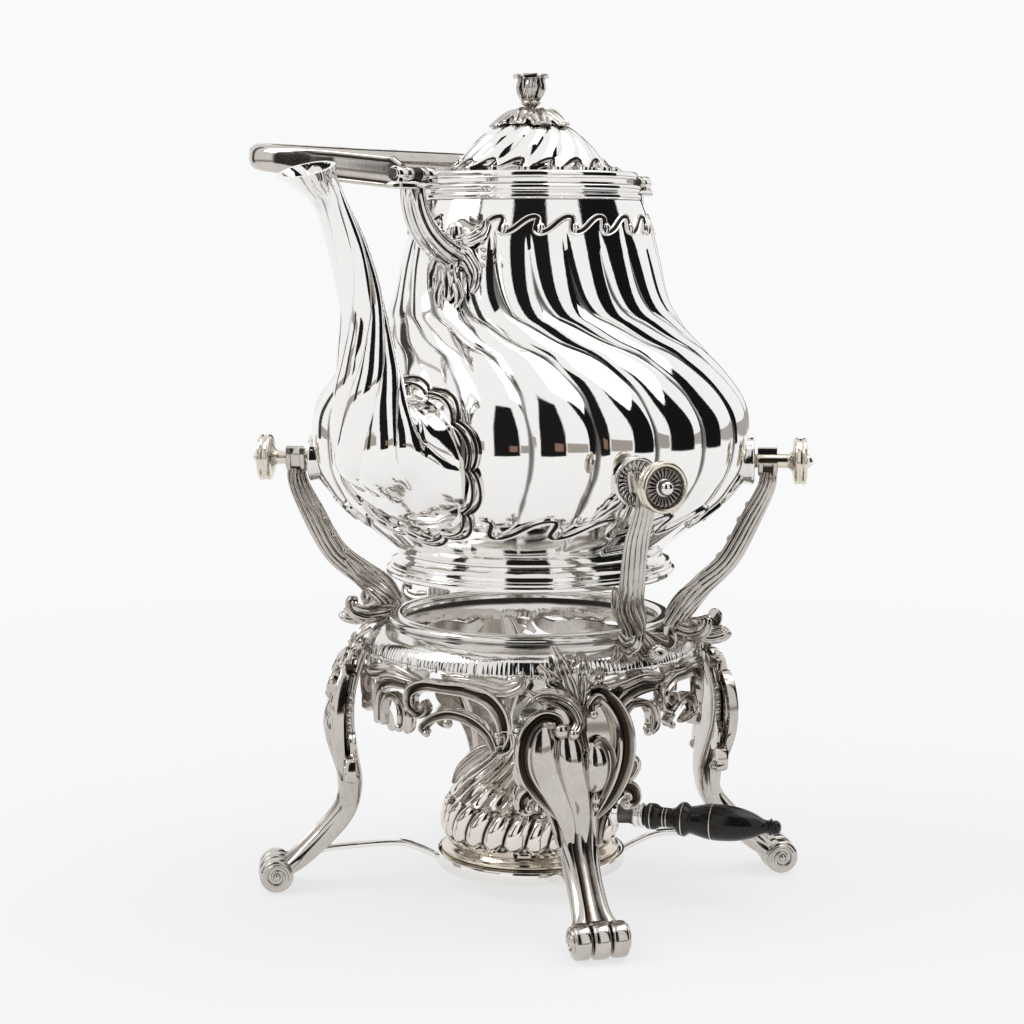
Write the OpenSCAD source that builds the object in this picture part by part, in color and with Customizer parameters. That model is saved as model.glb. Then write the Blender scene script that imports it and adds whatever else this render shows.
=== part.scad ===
// A swing-handled coffee kettle on a footed stand with a spirit burner.
// The origin is on the common upright axis at table level, +Z is up and +X points to the spout.

/* [Kettle body] */
// Largest radius of the belly
belly_r = 102.4; // [88:1:123]
// Radius of the neck under the mouth moulding
neck_r = 51; // [48:0.5:56]
// Height of the raised body from its seam to the mouth
body_h = 162; // [136:1:194]
// Height of the body's lower seam above the foot's resting edge
foot_h = 11; // [9:0.5:13]
// Outer radius of the foot moulding
foot_r = 68; // [64:0.5:74]
// Thickness of the sheet silver
wall = 1.6; // [1.3:0.1:2]
// Number of spiral lobes round the body
body_lobes = 22; // [18:1:26]
// Depth of the creases between the body lobes
crease = 2.6; // [1:0.1:3]
// Height of the mouth moulding
rim_h = 7; // [6:0.5:9]
// Radius of the mouth opening
mouth_r = 46; // [45:0.5:47]

/* [Spout] */
// Distance of the lip from the upright axis
lip_reach = 161; // [156:1:172]
// Height of the lip above the body's lower seam
lip_h = 172.5; // [164:0.5:180]
// Half width of the tube where it is slimmest
tube_r = 7; // [6.4:0.1:8.5]
// Number of spiral flutes round the spout
spout_flutes = 8; // [6:1:9]
// Half width of the root on the belly
root_half_w = 32; // [29:0.5:36]
// Half height of the root on the belly
root_half_h = 30.5; // [28:0.5:34]

/* [Lid] */
// Radius of the lid flange
lid_r = 49.2; // [48.5:0.1:50]
// Rise of the dome above its flange
dome_h = 23; // [19:0.5:28]
// Number of spiral flutes on the lid
lid_flutes = 16; // [12:1:20]
// Height of the bud finial above the dome
finial_h = 22; // [19:0.5:28]

/* [Swing handle] */
// Distance of each handle hinge from the upright axis
hinge_reach = 90; // [86:1:98]
// Height of the hinge line above the mouth moulding
hinge_rise = 3.2; // [3:0.1:6]
// Reach of the bow from its hinge line
bow_reach = 100; // [96:1:118]
// Height of the strap across the bow's plane
strap_w = 14; // [11:0.5:16]
// Thickness of the strap
strap_t = 4.6; // [4:0.1:5.5]
// Radius of the bow's corners
bow_corner = 22; // [16:1:30]
// Angle of the folded bow above level
bow_rest = 6; // [5:0.5:10]
// Radius of the hinge pins
hinge_pin_r = 1.35; // [1.1:0.05:1.65]

/* [Stand] */
// Height of the ring that the kettle hangs over
stand_h = 130; // [122:1:156]
// Radius of the ring's opening
ring_bore_r = 60; // [54:1:64]
// Gap between the ring and the kettle's foot
foot_gap = 19; // [14:1:24]
// Distance of each foot scroll from the upright axis
foot_reach = 121.5; // [116:0.5:130]
// Radius of the foot scrolls
scroll_r = 8.3; // [7.5:0.1:9.5]
// Width of a leg's shank
shank_w = 13; // [11:0.5:15]
// Angle between a leg and the spout's plane
leg_angle = 48; // [45:1:50]
// Width of the shield on each leg
shield_w = 46; // [40:1:50]

/* [Carrying pins] */
// Radius of the pins that hang the kettle in the arms
pin_r = 3.2; // [2.7:0.1:3.9]
// Height of the pins above the body's lower seam
pin_h = 42; // [38:1:46]
// Length of a pin from the belly to its disc
pin_len = 18; // [17:0.5:22]
// Radius of a pin's disc
disc_r = 11; // [9:0.5:12.5]
// Thickness of a pin's disc
disc_t = 6; // [5:0.5:7]
// Angle between a pin and the spout's plane
pin_angle = 60; // [57:1:63]

/* [Spirit burner] */
// Largest radius of the burner
burner_r = 43; // [35.5:0.5:45]
// Height of the burner's underside above the table
burner_z = 11; // [9:0.5:13]
// Height of the gadrooned bowl
bowl_h = 48; // [42:1:54]
// Number of gadroons round the bowl
gadroons = 24; // [20:1:28]
// Radius of the filler neck's bore
filler_r = 10.3; // [8.5:0.1:12]
// Length of the turned handle
grip_len = 65; // [56:1:74]
// Largest radius of the turned handle
grip_r = 8.5; // [7:0.5:9.5]
// Angle of the grip behind the side
grip_turn = 15; // [0:1:20]

/* [Hidden] */
$fn = 64;
fine = 240;  // facets of the thin shells' inner faces

// Clearances
run_gap = 0.05;     // hinge pins in their knuckles
seat_gap = 0.3;     // pieces that rest on each other and lift apart
solder_gap = 0.15;  // sheet pieces that are soldered on
over = 1;           // how far a cutter runs past the face it opens

// Heights on the upright axis
base_z = stand_h + foot_gap;
body_z = base_z + foot_h;
mouth_z = body_z + body_h;
rim_z = mouth_z + rim_h;
pin_z = body_z + pin_h;
hinge_z = rim_z + hinge_rise;

// Smooth curve through points or rows of numbers, with n steps between neighbours
function blend(a, b, c, d, t) =
    0.5 * (2 * b + (c - a) * t + (2 * a - 5 * b + 4 * c - d) * t * t + (3 * b - a - 3 * c + d) * t * t * t);
function spline(p, n) = concat(
    [for (i = [0 : len(p) - 2], k = [0 : n - 1])
        blend(p[max(i - 1, 0)], p[i], p[i + 1], p[min(i + 2, len(p) - 1)], k / n)],
    [p[len(p) - 1]]);
function unit(v) = v / norm(v);
function heading(p, i) = unit(p[min(i + 1, len(p) - 1)] - p[max(i - 1, 0)]);

// A closed loop of lobes that meet in creases, seen from the end it faces
function lobed(r, lobes, steps, depth, turn) = [
    for (k = [0 : lobes * steps - 1])
        let (a = 360 * k / (lobes * steps) + turn, q = r - depth * (1 - sin(180 * (k % steps) / steps)))
        [q * cos(a), q * sin(a)]];
function oval(a, b, n) = [for (k = [0 : n - 1]) [a * cos(360 * k / n), b * sin(360 * k / n)]];
function raised(loop, z) = [for (q = loop) [q[0], q[1], z]];

// Loops carried along a path, with one side kept as near as possible to the direction across
function swept(path, across, loops) = [
    for (i = [0 : len(path) - 1])
        let (t = heading(path, i), s = unit(across - (across * t) * t), u = cross(t, s))
        [for (q = loops[i]) path[i] + q[0] * s + q[1] * u]];

function strip(j, k, n) = [
    for (i = [0 : n - 1])
        let (a = j * n + i, b = j * n + (i + 1) % n, c = k * n + (i + 1) % n, d = k * n + i)
        each [[a, d, c], [a, c, b]]];

// Solid through loops of equal length, counterclockwise seen from the last loop
module loft(rings) {
    n = len(rings[0]);
    m = len(rings);
    polyhedron(
        points = [for (ring = rings) each ring],
        faces = concat(
            [[for (i = [0 : n - 1]) i]],
            [for (j = [0 : m - 2]) each strip(j, j + 1, n)],
            [[for (i = [n - 1 : -1 : 0]) (m - 1) * n + i]]),
        convexity = 6);
}

// Ring-shaped solid whose last loop joins its first
module loop_loft(rings) {
    n = len(rings[0]);
    m = len(rings);
    polyhedron(
        points = [for (ring = rings) each ring],
        faces = [for (j = [0 : m - 1]) each strip(j, (j + 1) % m, n)],
        convexity = 8);
}

// Flat band along a path of [x, y, half width] rows
function band(rows) = concat(
    [for (i = [0 : len(rows) - 1]) let (t = heading(rows, i)) side_of(rows[i], t, 1)],
    [for (i = [len(rows) - 1 : -1 : 0]) let (t = heading(rows, i)) side_of(rows[i], t, -1)]);
function side_of(row, t, way) = [row[0] + way * row[2] * -t[1], row[1] + way * row[2] * t[0]];

// Band that winds in from radius r0 at angle a0 to radius r1 at angle a1
function curl(cx, cy, r0, a0, r1, a1, w0, w1, n) = [
    for (k = [0 : n])
        let (s = k / n, a = a0 + (a1 - a0) * s, r = r0 * pow(r1 / r0, s))
        [cx + r * cos(a), cy + r * sin(a), w0 + (w1 - w0) * s]];

// Repeats round the upright axis
CORNER = ["front_left", "front_right", "rear_left", "rear_right"];
PIN_TURN = [pin_angle, -pin_angle, 180 - pin_angle, 180 + pin_angle];
LEG_TURN = [leg_angle, -leg_angle, 180 - leg_angle, 180 + leg_angle];
SIDE = ["front", "left", "rear", "right"];
SIDE_TURN = [0, 90, 180, 270];

// Body outline as [share of the height, share of the swell from neck to belly]
body_shape = [
    [0, 0.214], [0.052, 0.416], [0.14, 0.739], [0.198, 0.875], [0.257, 0.967], [0.346, 1],
    [0.432, 0.949], [0.531, 0.73], [0.633, 0.428], [0.719, 0.263], [0.833, 0.175], [0.901, 0.117], [1, 0]];
body_line = [
    for (p = spline(body_shape, 2)) [body_z + body_h * p[0], neck_r + (belly_r - neck_r) * p[1]]];
function body_r(z) = lookup(z, body_line);

// Spiral of the creases, in degrees against the share of the height
crease_turn = [
    [0, 44], [0.15, 47], [0.27, 50], [0.36, 50.5], [0.44, 49], [0.494, 47], [0.549, 42], [0.586, 37],
    [0.617, 28], [0.66, 18], [0.69, 10], [0.747, 4.5], [0.827, 1.4], [0.914, 0]];
crease_depth = [
    [0, 0], [0.06, 0.4], [0.15, 0.8], [0.3, 1], [0.6, 1], [0.75, 0.7], [0.88, 0.4], [0.95, 0]];
lobe_steps = 4;
function share(z) = (z - body_z) / body_h;
function crease_at(z) = crease * lookup(share(z), crease_depth);

module kettle_shell() {
    strainer_r = 2.5;
    color("silver") difference() {
        loft([for (p = body_line)
            raised(lobed(p[1], body_lobes, lobe_steps, crease_at(p[0]), lookup(share(p[0]), crease_turn)), p[0])]);
        rotate_extrude($fn = fine) polygon(concat(
            [[0, body_z + wall]],
            [for (i = [2 : 2 : len(body_line) - 3])
                [body_line[i][1] - wall - crease_at(body_line[i][0]), body_line[i][0]]],
            [[mouth_r, mouth_z - over], [mouth_r, mouth_z + over], [0, mouth_z + over]]));
        for (row = [-1 : 1], k = [-1 : 1])
            translate([0, 0, root_z + 9 * row]) rotate([0, 90, 9 * k + 4.5 * (row % 2)])
                cylinder(r = strainer_r, h = belly_r + over, $fn = 24);
    }
}

module foot_ring() {
    top = body_z - solder_gap;
    color("silver") rotate_extrude() polygon([
        [foot_r - 9, base_z], [foot_r - 1, base_z], [foot_r, base_z + 1], [foot_r, base_z + 3],
        [foot_r - 1.6, base_z + 4], [foot_r - 1.6, base_z + 5], [foot_r - 3, base_z + 6],
        [foot_r - 3, base_z + 7.4], [foot_r - 5.6, base_z + 8.4], [foot_r - 6, top],
        [foot_r - 10, top], [foot_r - 9, base_z + 3]]);
}

// Lid hinge at the rear of the mouth, and its knuckles along Y
lid_hinge_x = -(lid_r + 5.5);
lid_hinge_z = rim_z + 2;
knuckle_r = 3;
lid_knuckle = 10;
rim_knuckle = 8;
knuckle_gap = 0.4;

module along_y(length, r) {
    rotate([90, 0, 0]) cylinder(r = r, h = length, center = true, $fn = 40);
}

module mouth_rim() {
    rim_r = neck_r;
    knuckle_y = lid_knuckle / 2 + knuckle_gap + rim_knuckle / 2;
    color("silver") difference() {
        union() {
            rotate_extrude() polygon([
                [mouth_r, mouth_z + solder_gap], [rim_r - 0.6, mouth_z + solder_gap], [rim_r + 0.2, mouth_z + 1.2],
                [rim_r + 0.2, mouth_z + 2.6], [rim_r - 0.9, mouth_z + 3.2], [rim_r - 0.9, mouth_z + 4],
                [rim_r, mouth_z + 4.8], [rim_r, rim_z - 0.6], [rim_r - 0.6, rim_z], [mouth_r, rim_z]]);
            for (s = [-1, 1]) translate([lid_hinge_x, s * knuckle_y, lid_hinge_z]) {
                along_y(rim_knuckle, knuckle_r);
                translate([0, -rim_knuckle / 2, -knuckle_r])
                    cube([-lid_hinge_x - mouth_r - wall, rim_knuckle, knuckle_r - 0.4]);
            }
        }
        translate([lid_hinge_x, 0, lid_hinge_z]) along_y(60, hinge_pin_r + run_gap);
    }
}

module lid_hinge_pin() {
    color("silver") translate([lid_hinge_x, 0, lid_hinge_z])
        along_y(lid_knuckle + 2 * (knuckle_gap + rim_knuckle) + 1, hinge_pin_r);
}

// Lid, closed over the mouth
flange_z = rim_z + 2.8;
flange_t = 3.2;
dome_z = flange_z + flange_t;
lid_skirt_r = mouth_r - 1.4;

module lid_bezel() {
    color("silver") difference() {
        union() {
            rotate_extrude() polygon([
                [lid_skirt_r - wall, rim_z - 7], [lid_skirt_r, rim_z - 7], [lid_skirt_r, rim_z + seat_gap],
                [mouth_r + 1.6, rim_z + seat_gap], [mouth_r + 1.6, flange_z], [lid_r - 0.4, flange_z],
                [lid_r, flange_z + 0.6], [lid_r, dome_z - 0.6], [lid_r - 0.8, dome_z], [lid_skirt_r - wall, dome_z]]);
            translate([lid_hinge_x, 0, lid_hinge_z]) {
                along_y(lid_knuckle, knuckle_r);
                translate([0, -lid_knuckle / 2, 1.2]) cube([8, lid_knuckle, flange_z + 1.4 - lid_hinge_z - 1.2]);
            }
        }
        translate([lid_hinge_x, 0, lid_hinge_z]) along_y(60, hinge_pin_r + run_gap);
    }
}

// Dome outline as [radius, share of the rise, flute depth]
dome_shape = [
    [lid_r - 5.4, 0, 0], [lid_r - 10, 0.04, 0.2], [lid_r - 13.4, 0.11, 0.7], [lid_r - 16.6, 0.28, 1.2],
    [lid_r - 20.8, 0.5, 1.3], [lid_r - 26.4, 0.74, 1.2], [lid_r - 32.4, 0.91, 0.8], [9, 1, 0.2]];
dome_turn = 40;
screw_r = 1.5;

module lid_dome() {
    color("silver") difference() {
        loft([for (p = dome_shape)
            raised(lobed(p[0], lid_flutes, 4, p[2], dome_turn * p[1]), dome_z + solder_gap + dome_h * p[1])]);
        rotate_extrude($fn = fine) polygon(concat(
            [[0, dome_z - over], [dome_shape[0][0] - 4, dome_z - over]],
            [for (p = dome_shape) [p[0] - wall - p[2] - (p[1] < 1 ? 1 : 3), dome_z + dome_h * p[1] - wall]],
            [[0, dome_z + dome_h - wall]]));
        cylinder(r = screw_r + run_gap, h = dome_z + dome_h + over);
    }
}

top_z = dome_z + dome_h + solder_gap;

module finial_leaves() {
    leaves = 8;
    // rows of [radius, height, notch between leaf tips]
    rows = [[9, 0.15, 0.2], [15.2, -0.3, 4.4], [15.8, 0.6, 4.6], [10.6, 2.4, 2], [4.6, 3.6, 0.5]];
    color("silver") difference() {
        loft([for (p = rows) raised(lobed(p[0], leaves, 4, p[2], 0), top_z + p[1])]);
        cylinder(r = screw_r + run_gap, h = top_z + 6);
    }
}

module finial_bud() {
    petals = 5;
    bud_z = top_z + 3.7;
    bud_h = finial_h - 3.7;
    // rows of [radius, share of the bud's height, notch between petals]
    rows = [
        [3.4, 0, 0.1], [2.8, 0.12, 0.1], [4.4, 0.24, 0.2], [3.4, 0.34, 0.4], [6.3, 0.52, 1.2],
        [7.4, 0.74, 1.8], [6.9, 0.88, 2.2], [8.4, 0.97, 3], [6, 1, 3.4], [2, 0.9, 0.6]];
    color("silver") loft([for (p = rows) raised(lobed(p[0], petals, 4, p[2], 18), bud_z + bud_h * p[1])]);
}

module finial_screw() {
    nut_t = 3;
    nut_z = dome_z + dome_h - wall - solder_gap - nut_t;
    color("silver") union() {
        translate([0, 0, nut_z - 1.5]) cylinder(r = screw_r, h = top_z + 3.4 - nut_z + 1.5);
        translate([0, 0, nut_z]) cylinder(r = 3.6, h = nut_t);
    }
}

// Carrying pins and their bosses, along the radius at the belly
boss_r = 11;
boss_face = belly_r + 2.2;
disc_face = boss_face + pin_len + disc_t;

module boss(turn) {
    saddle_top = 16;
    color("silver") rotate([0, 0, turn]) difference() {
        translate([belly_r - 14, 0, pin_z]) rotate([0, 90, 0]) rotate_extrude() polygon([
            [0, 0], [boss_r - 0.6, 0], [boss_r, boss_face - belly_r + 12], [boss_r, boss_face - belly_r + 14.6],
            [boss_r - 1, boss_face - belly_r + 15.4], [boss_r - 2, boss_face - belly_r + 14.6],
            [pin_r + 1.2, boss_face - belly_r + 12.6], [pin_r + 1.2, boss_face - belly_r + 14],
            [0, boss_face - belly_r + 14]]);
        rotate_extrude($fn = fine) polygon(concat(
            [[0, body_z]],
            [for (i = [0 : saddle_top]) [body_line[i][1] + solder_gap, body_line[i][0]]],
            [[0, body_line[saddle_top][0]]]));
    }
}

disc_recess = 2.2;

module pin(turn) {
    color("tan") rotate([0, 0, turn]) translate([boss_face, 0, pin_z]) rotate([0, 90, 0])
        rotate_extrude() polygon([
            [0, 0], [pin_r, 0], [pin_r, pin_len - 1.6], [pin_r + 1.6, pin_len], [disc_r - 1, pin_len],
            [disc_r, pin_len + 1], [disc_r, pin_len + disc_t - 1], [disc_r - 0.8, pin_len + disc_t],
            [disc_r - 1.8, pin_len + disc_t], [disc_r - 2.4, pin_len + disc_t - disc_recess],
            [0, pin_len + disc_t - disc_recess]]);
}

module pin_buttons() {
    button_r = 3.5;
    color("silver") for (turn = PIN_TURN)
        rotate([0, 0, turn]) translate([disc_face - disc_recess, 0, pin_z]) rotate([0, 90, 0])
            rotate_extrude() polygon([
                [0, 0], [button_r + 1.2, 0], [button_r, 1.4], [button_r - 0.4, 3.4], [button_r - 1.8, 5], [0, 5.4]]);
}

// Spout, as rows of [x, z, tilt, half depth, half width, flute depth, flute turn]
root_z = body_z + 48;
lip_x = lip_reach;
lip_z = body_z + lip_h;
spout_rows = [
    [belly_r + 15, root_z + 12, 30, root_half_h - 10.5, root_half_w - 9.5, 1.5, 16],
    [belly_r + 18.6, root_z + 19.6, 45, root_half_h - 13, root_half_w - 12.5, 1.6, 26],
    [belly_r + 20, root_z + 37, 68, 15, 15.5, 1.4, 50],
    [belly_r + 21.2, root_z + 51, 75, tube_r + 5, tube_r + 5.4, 1.2, 72],
    [belly_r + 24.4, root_z + 71.6, 66, tube_r + 2.5, tube_r + 2.9, 1, 92],
    [belly_r + 32.2, root_z + 92, 57, tube_r + 1.1, tube_r + 1.5, 0.9, 110],
    [lip_x - 14.2, lip_z - 12, 55, tube_r - 0.2, tube_r + 0.1, 0.8, 124],
    [lip_x - 6, lip_z - 4.6, 62, tube_r + 1.8, tube_r + 1.8, 0.7, 134],
    [lip_x, lip_z, 72, tube_r + 5.4, tube_r + 5, 0.4, 140]];
spout_steps = 3;
spout_line = spline(spout_rows, 2);

// Loops of the root that follow the belly, as rows of [rise, inset, gap to the belly, flute depth, flute turn]
root_gap = belly_r * 0.0018;
root_rows = [[0, 0, root_gap, 0.4, 0], [1.4, 1.5, 4, 1, 2], [4, 4.4, 9, 1.3, 6], [8, 7.6, 13, 1.5, 11]];

function spout_loop(row, inset) = [
    for (k = [0 : spout_flutes * spout_steps - 1])
        let (a = 360 * k / (spout_flutes * spout_steps) + row[6],
             cut = inset > 0 ? inset + row[5] : row[5] * (1 - sin(180 * (k % spout_steps) / spout_steps)),
             w = (row[4] - cut) * cos(a), d = (row[3] - cut) * sin(a))
        [row[0] - d * sin(row[2]), w, row[1] + d * cos(row[2])]];

// The root's own edge is laid on the belly
function on_body(p, gap) = [sqrt(pow(body_r(p[2]) + gap, 2) - p[1] * p[1]), p[1], p[2]];
function laid(loop, gap) = [for (p = loop) on_body(p, gap)];
function off_body(p, lift) =
    let (q = on_body(p, 0), slope = (body_r(q[2] + 1) - body_r(q[2] - 1)) / 2, r = norm([q[0], q[1]]))
    q + lift * unit([q[0] / r, q[1] / r, -slope]);

function root_loop(row, inset) = laid(
    spout_loop([0, root_z + row[0], 0, root_half_h - row[1], root_half_w - row[1], row[3], row[4]], inset), row[2]);

module spout() {
    last = len(spout_line) - 1;
    outer = concat(
        [for (row = root_rows) root_loop(row, 0)],
        [for (row = spout_line) spout_loop(row, 0)]);
    inner = concat(
        [for (i = [last : -1 : 0]) spout_loop(spout_line[i], wall)],
        [for (i = [len(root_rows) - 1 : -1 : 0]) root_loop(root_rows[i] - [0, 0, i > 0 ? wall : 0, 0, 0], wall)]);
    color("silver") loop_loft(concat(outer, inner));
}

// Cusped moulding round the spout's root
module spout_border() {
    cusps = 10;
    steps = 4;
    stations = cusps * steps;
    scallop = 2.6;
    path = [for (k = [0 : stations - 1])
        let (a = 360 * k / stations, bump = scallop * sin(180 * (k % steps) / steps),
             y = (root_half_w + 2.2 + bump) * cos(a), z = root_z + (root_half_h + 2.2 + bump) * sin(a))
        [0, y, z]];
    crown = [for (p = path) off_body(p, 1.9)];
    bar = oval(2, 1.5, 6);
    rings = [for (k = [0 : stations - 1])
        let (t = unit(crown[(k + 1) % stations] - crown[(k + stations - 1) % stations]),
             out = off_body(path[k], 2.9) - crown[k], s = unit(cross(t, out)), u = cross(t, s))
        [for (q = bar) crown[k] + q[0] * s + q[1] * u]];
    color("silver") loop_loft(rings);
}

// Lugs that carry the swing handle, one over the spout and one over the lid hinge
ear = 6;
handle_knuckle = 14.4;
ear_gap = 0.35;
handle_knuckle_r = 3.3;
lug_plate_t = 2.6;

module along_x(length, r) {
    rotate([0, 90, 0]) cylinder(r = r, h = length, center = true, $fn = 40);
}

module lug() {
    half = handle_knuckle / 2 + ear_gap + ear;
    plate_z = hinge_z - handle_knuckle_r - ear_gap - lug_plate_t;
    stem_r = 5.4;
    stem = spline([
        [hinge_reach + 0.6, 0, plate_z + 0.4], [hinge_reach - 2, 0, plate_z - 11], [hinge_reach - 14, 0, plate_z - 22],
        [hinge_reach - 24, 0, plate_z - 27], [neck_r + 10, 0, plate_z - 29.5]], 3);
    stem_loops = [for (i = [0 : len(stem) - 1]) oval(stem_r, stem_r, 10)];
    // leaf on the neck, as rows of [height below the mouth, half angle, thickness]
    leaf = [[6, 2, 1.6], [10, 9, 3.2], [17, 11.5, 4], [25, 10, 5.4], [32, 8, 4.4], [38, 5.6, 3], [43, 2, 1.4]];
    color("silver") union() {
        loft(swept(stem, [0, 1, 0], stem_loops));
        loft([for (i = [len(leaf) - 1 : -1 : 0]) leaf_ring(mouth_z - leaf[i][0], leaf[i][1], leaf[i][2])]);
        translate([hinge_reach, 0, plate_z + lug_plate_t / 2]) cube([2 * half, 8.4, lug_plate_t], center = true);
        for (s = [-1, 1]) translate([hinge_reach + s * (half - ear / 2), 0, hinge_z]) difference() {
            union() {
                along_x(ear, handle_knuckle_r);
                translate([0, 0, -handle_knuckle_r / 2 - 0.5])
                    cube([ear, 2 * handle_knuckle_r - 1, handle_knuckle_r + 1], center = true);
            }
            along_x(ear + 2, hinge_pin_r + run_gap);
        }
    }
}

function leaf_ring(z, half, thick) = concat(
    [for (k = [-2 : 2]) polar(body_r(z) + solder_gap + thick * (1 - 0.12 * k * k), half * k / 2, z)],
    [for (k = [2 : -1 : -2]) polar(body_r(z) + solder_gap, half * k / 2, z)]);
function polar(r, a, z) = [r * cos(a), r * sin(a), z];

module front_lug() { lug(); }
module rear_lug() { rotate([0, 0, 180]) lug(); }

module handle_hinge_pins() {
    half = handle_knuckle / 2 + ear_gap + ear;
    head_t = 1.2;
    color("silver") for (s = [0, 180]) rotate([0, 0, s]) translate([hinge_reach, 0, hinge_z]) {
        along_x(2 * half, hinge_pin_r);
        for (e = [-1, 1]) translate([e * (half + head_t / 2), 0, 0]) along_x(head_t, hinge_pin_r + 1.1);
    }
}

// Bow of the handle, an arch with rounded corners in its own plane, folded down beside the kettle
module handle_bow() {
    side = hinge_reach + 1;
    depth = bow_reach - strap_t / 2;
    straight = depth - bow_corner;
    w = strap_w / 2;
    t = strap_t / 2;
    // half of the arch, as rows of [distance from the middle, distance from the hinges, half height, half thickness]
    half = concat(
        [[side, 0, 2.8, t], [side, straight * 0.05, 3.2, t], [side, straight * 0.14, w, t],
            [side, straight * 0.55, w, t], [side, straight * 0.8, w - 0.2, t + 1], [side, straight * 0.96, w - 0.6, t + 2.4]],
        [for (k = [1 : 5]) let (a = 18 * k)
            [side - bow_corner * (1 - cos(a)), straight + bow_corner * sin(a), w - 0.8, t + 3]],
        [[(side - bow_corner) * 0.66, depth, w - 0.8, t + 3.4], [(side - bow_corner) * 0.33, depth, w - 1, t + 3.2]]);
    arch = concat(half, [[0, depth, w - 1, t + 3.2]], [for (i = [len(half) - 1 : -1 : 0]) let (p = half[i]) [-p[0], p[1], p[2], p[3]]]);
    lean = [0, -cos(bow_rest), sin(bow_rest)];
    upright = [0, sin(bow_rest), cos(bow_rest)];
    path = [for (p = arch) [p[0], 0, hinge_z] + lean * p[1]];
    loops = [for (p = arch)
        [for (q = oval(1, 1, 10)) [p[2] * sign(q[0]) * pow(abs(q[0]), 0.6), p[3] * sign(q[1]) * pow(abs(q[1]), 0.6)]]];
    color("silver") difference() {
        union() {
            loft(swept(path, upright, loops));
            for (s = [-1, 1]) translate([s * hinge_reach, 0, hinge_z]) along_x(handle_knuckle, handle_knuckle_r);
        }
        for (s = [-1, 1]) translate([s * hinge_reach, 0, hinge_z]) along_x(handle_knuckle + 8, hinge_pin_r + run_gap);
    }
}

// Stand: the ring with its ribbed skirt
skirt_r = ring_bore_r + 18.5;
skirt_z = stand_h - 17;

module stand_ring() {
    color("silver") rotate_extrude() polygon([
        [ring_bore_r, stand_h - 4], [ring_bore_r, stand_h - 1.2], [ring_bore_r + 1.6, stand_h],
        [ring_bore_r + 5.4, stand_h], [ring_bore_r + 7.4, stand_h - 1.8], [ring_bore_r + 7, stand_h - 4.6],
        [ring_bore_r + 10, stand_h - 8.6], [ring_bore_r + 16, stand_h - 14], [skirt_r, skirt_z],
        [skirt_r - 1, skirt_z - 1.2], [ring_bore_r + 14, stand_h - 15.6], [ring_bore_r + 8, stand_h - 10.4],
        [ring_bore_r + 4.5, stand_h - 5]]);
}

// Arms with open cradles for the pins
cradle_in = boss_face + 1.6;
cradle_len = 9;
cradle_r = pin_r + seat_gap + 3.6;

module arm(turn) {
    side = sign(sin(turn));
    ahead = sign(cos(turn));
    top_r = cradle_in + cradle_len / 2;
    away = 90 - pin_angle;
    // rows of [radius, angle from the side, height, half width, half thickness]
    rows = spline([
        [ring_bore_r + 9, away * 0.45, stand_h - 4.4, 6, 4.4], [ring_bore_r + 14, away * 0.58, stand_h + 5, 7, 5],
        [top_r - 29, away * 0.78, stand_h + 15, 7.4, 5], [top_r - 17, away * 0.93, stand_h + 27, 7.2, 4.6],
        [top_r - 7, away, pin_z - 26, 7, 4.4], [top_r - 0.4, away, pin_z - cradle_r - 5, 6, 3.8],
        [top_r + 0.4, away, pin_z - pin_r - seat_gap - 1.2, 5, 3.6]], 2);
    // short branch that turns outward below the elbow
    stub = [[ring_bore_r + 13, away * 0.52, stand_h - 1, 3, 3], [ring_bore_r + 19, away * 0.55, stand_h - 4, 5, 4.2],
        [ring_bore_r + 27, away * 0.6, stand_h - 7, 5, 4.2], [ring_bore_r + 35, away * 0.64, stand_h - 5, 4, 3.4]];
    slot = 2 * (pin_r + seat_gap);
    color("silver") difference() {
        union() {
            for (limb = [rows, stub])
                loft(swept([for (p = limb) [ahead * p[0] * sin(p[1]), side * p[0] * cos(p[1]), p[2]]],
                    [ahead, 0, 0], [for (p = limb) oval(p[3], p[4], 10)]));
            rotate([0, 0, turn]) translate([cradle_in, 0, pin_z]) rotate([0, 90, 0]) cylinder(r = cradle_r, h = cradle_len);
        }
        rotate([0, 0, turn]) translate([cradle_in - 6, 0, pin_z]) {
            rotate([0, 90, 0]) cylinder(r = pin_r + seat_gap, h = cradle_len + 12);
            translate([0, -slot / 2, 0]) cube([cradle_len + 12, slot, cradle_r + over]);
            translate([0, -ahead * side * slot / 2 - (ahead * side > 0 ? cradle_r + over : 0), 1.4])
                cube([cradle_len + 12, cradle_r + over, cradle_r + over]);
        }
    }
}

// Leg in its upright plane, as rows of [radius, height, half thickness, half width]
shield_z = stand_h * 0.63;
leg_face = 8.6;
leg_rows = spline([
    [skirt_r + 1.4, skirt_z + 2, 3, 9], [skirt_r + 6.4, stand_h - 28, 3, shield_w * 0.36],
    [skirt_r + leg_face, stand_h - 40, 3, shield_w * 0.44], [skirt_r + leg_face, stand_h * 0.59, 3.2, shield_w * 0.42],
    [skirt_r + 7.4, stand_h * 0.49, 3.8, shield_w * 0.3], [skirt_r + 6.6, stand_h * 0.39, 4.6, shank_w * 0.68],
    [skirt_r + 9.6, stand_h * 0.29, 4.8, shank_w * 0.52], [foot_reach - 24, 26, 4.8, shank_w * 0.5],
    [foot_reach - 13, 15.6, 4.4, shank_w * 0.6], [foot_reach - 5, 10.6, 3.8, shank_w * 0.8]], 2);
foot_w = 24;
foot_z = scroll_r - 0.3;

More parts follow.
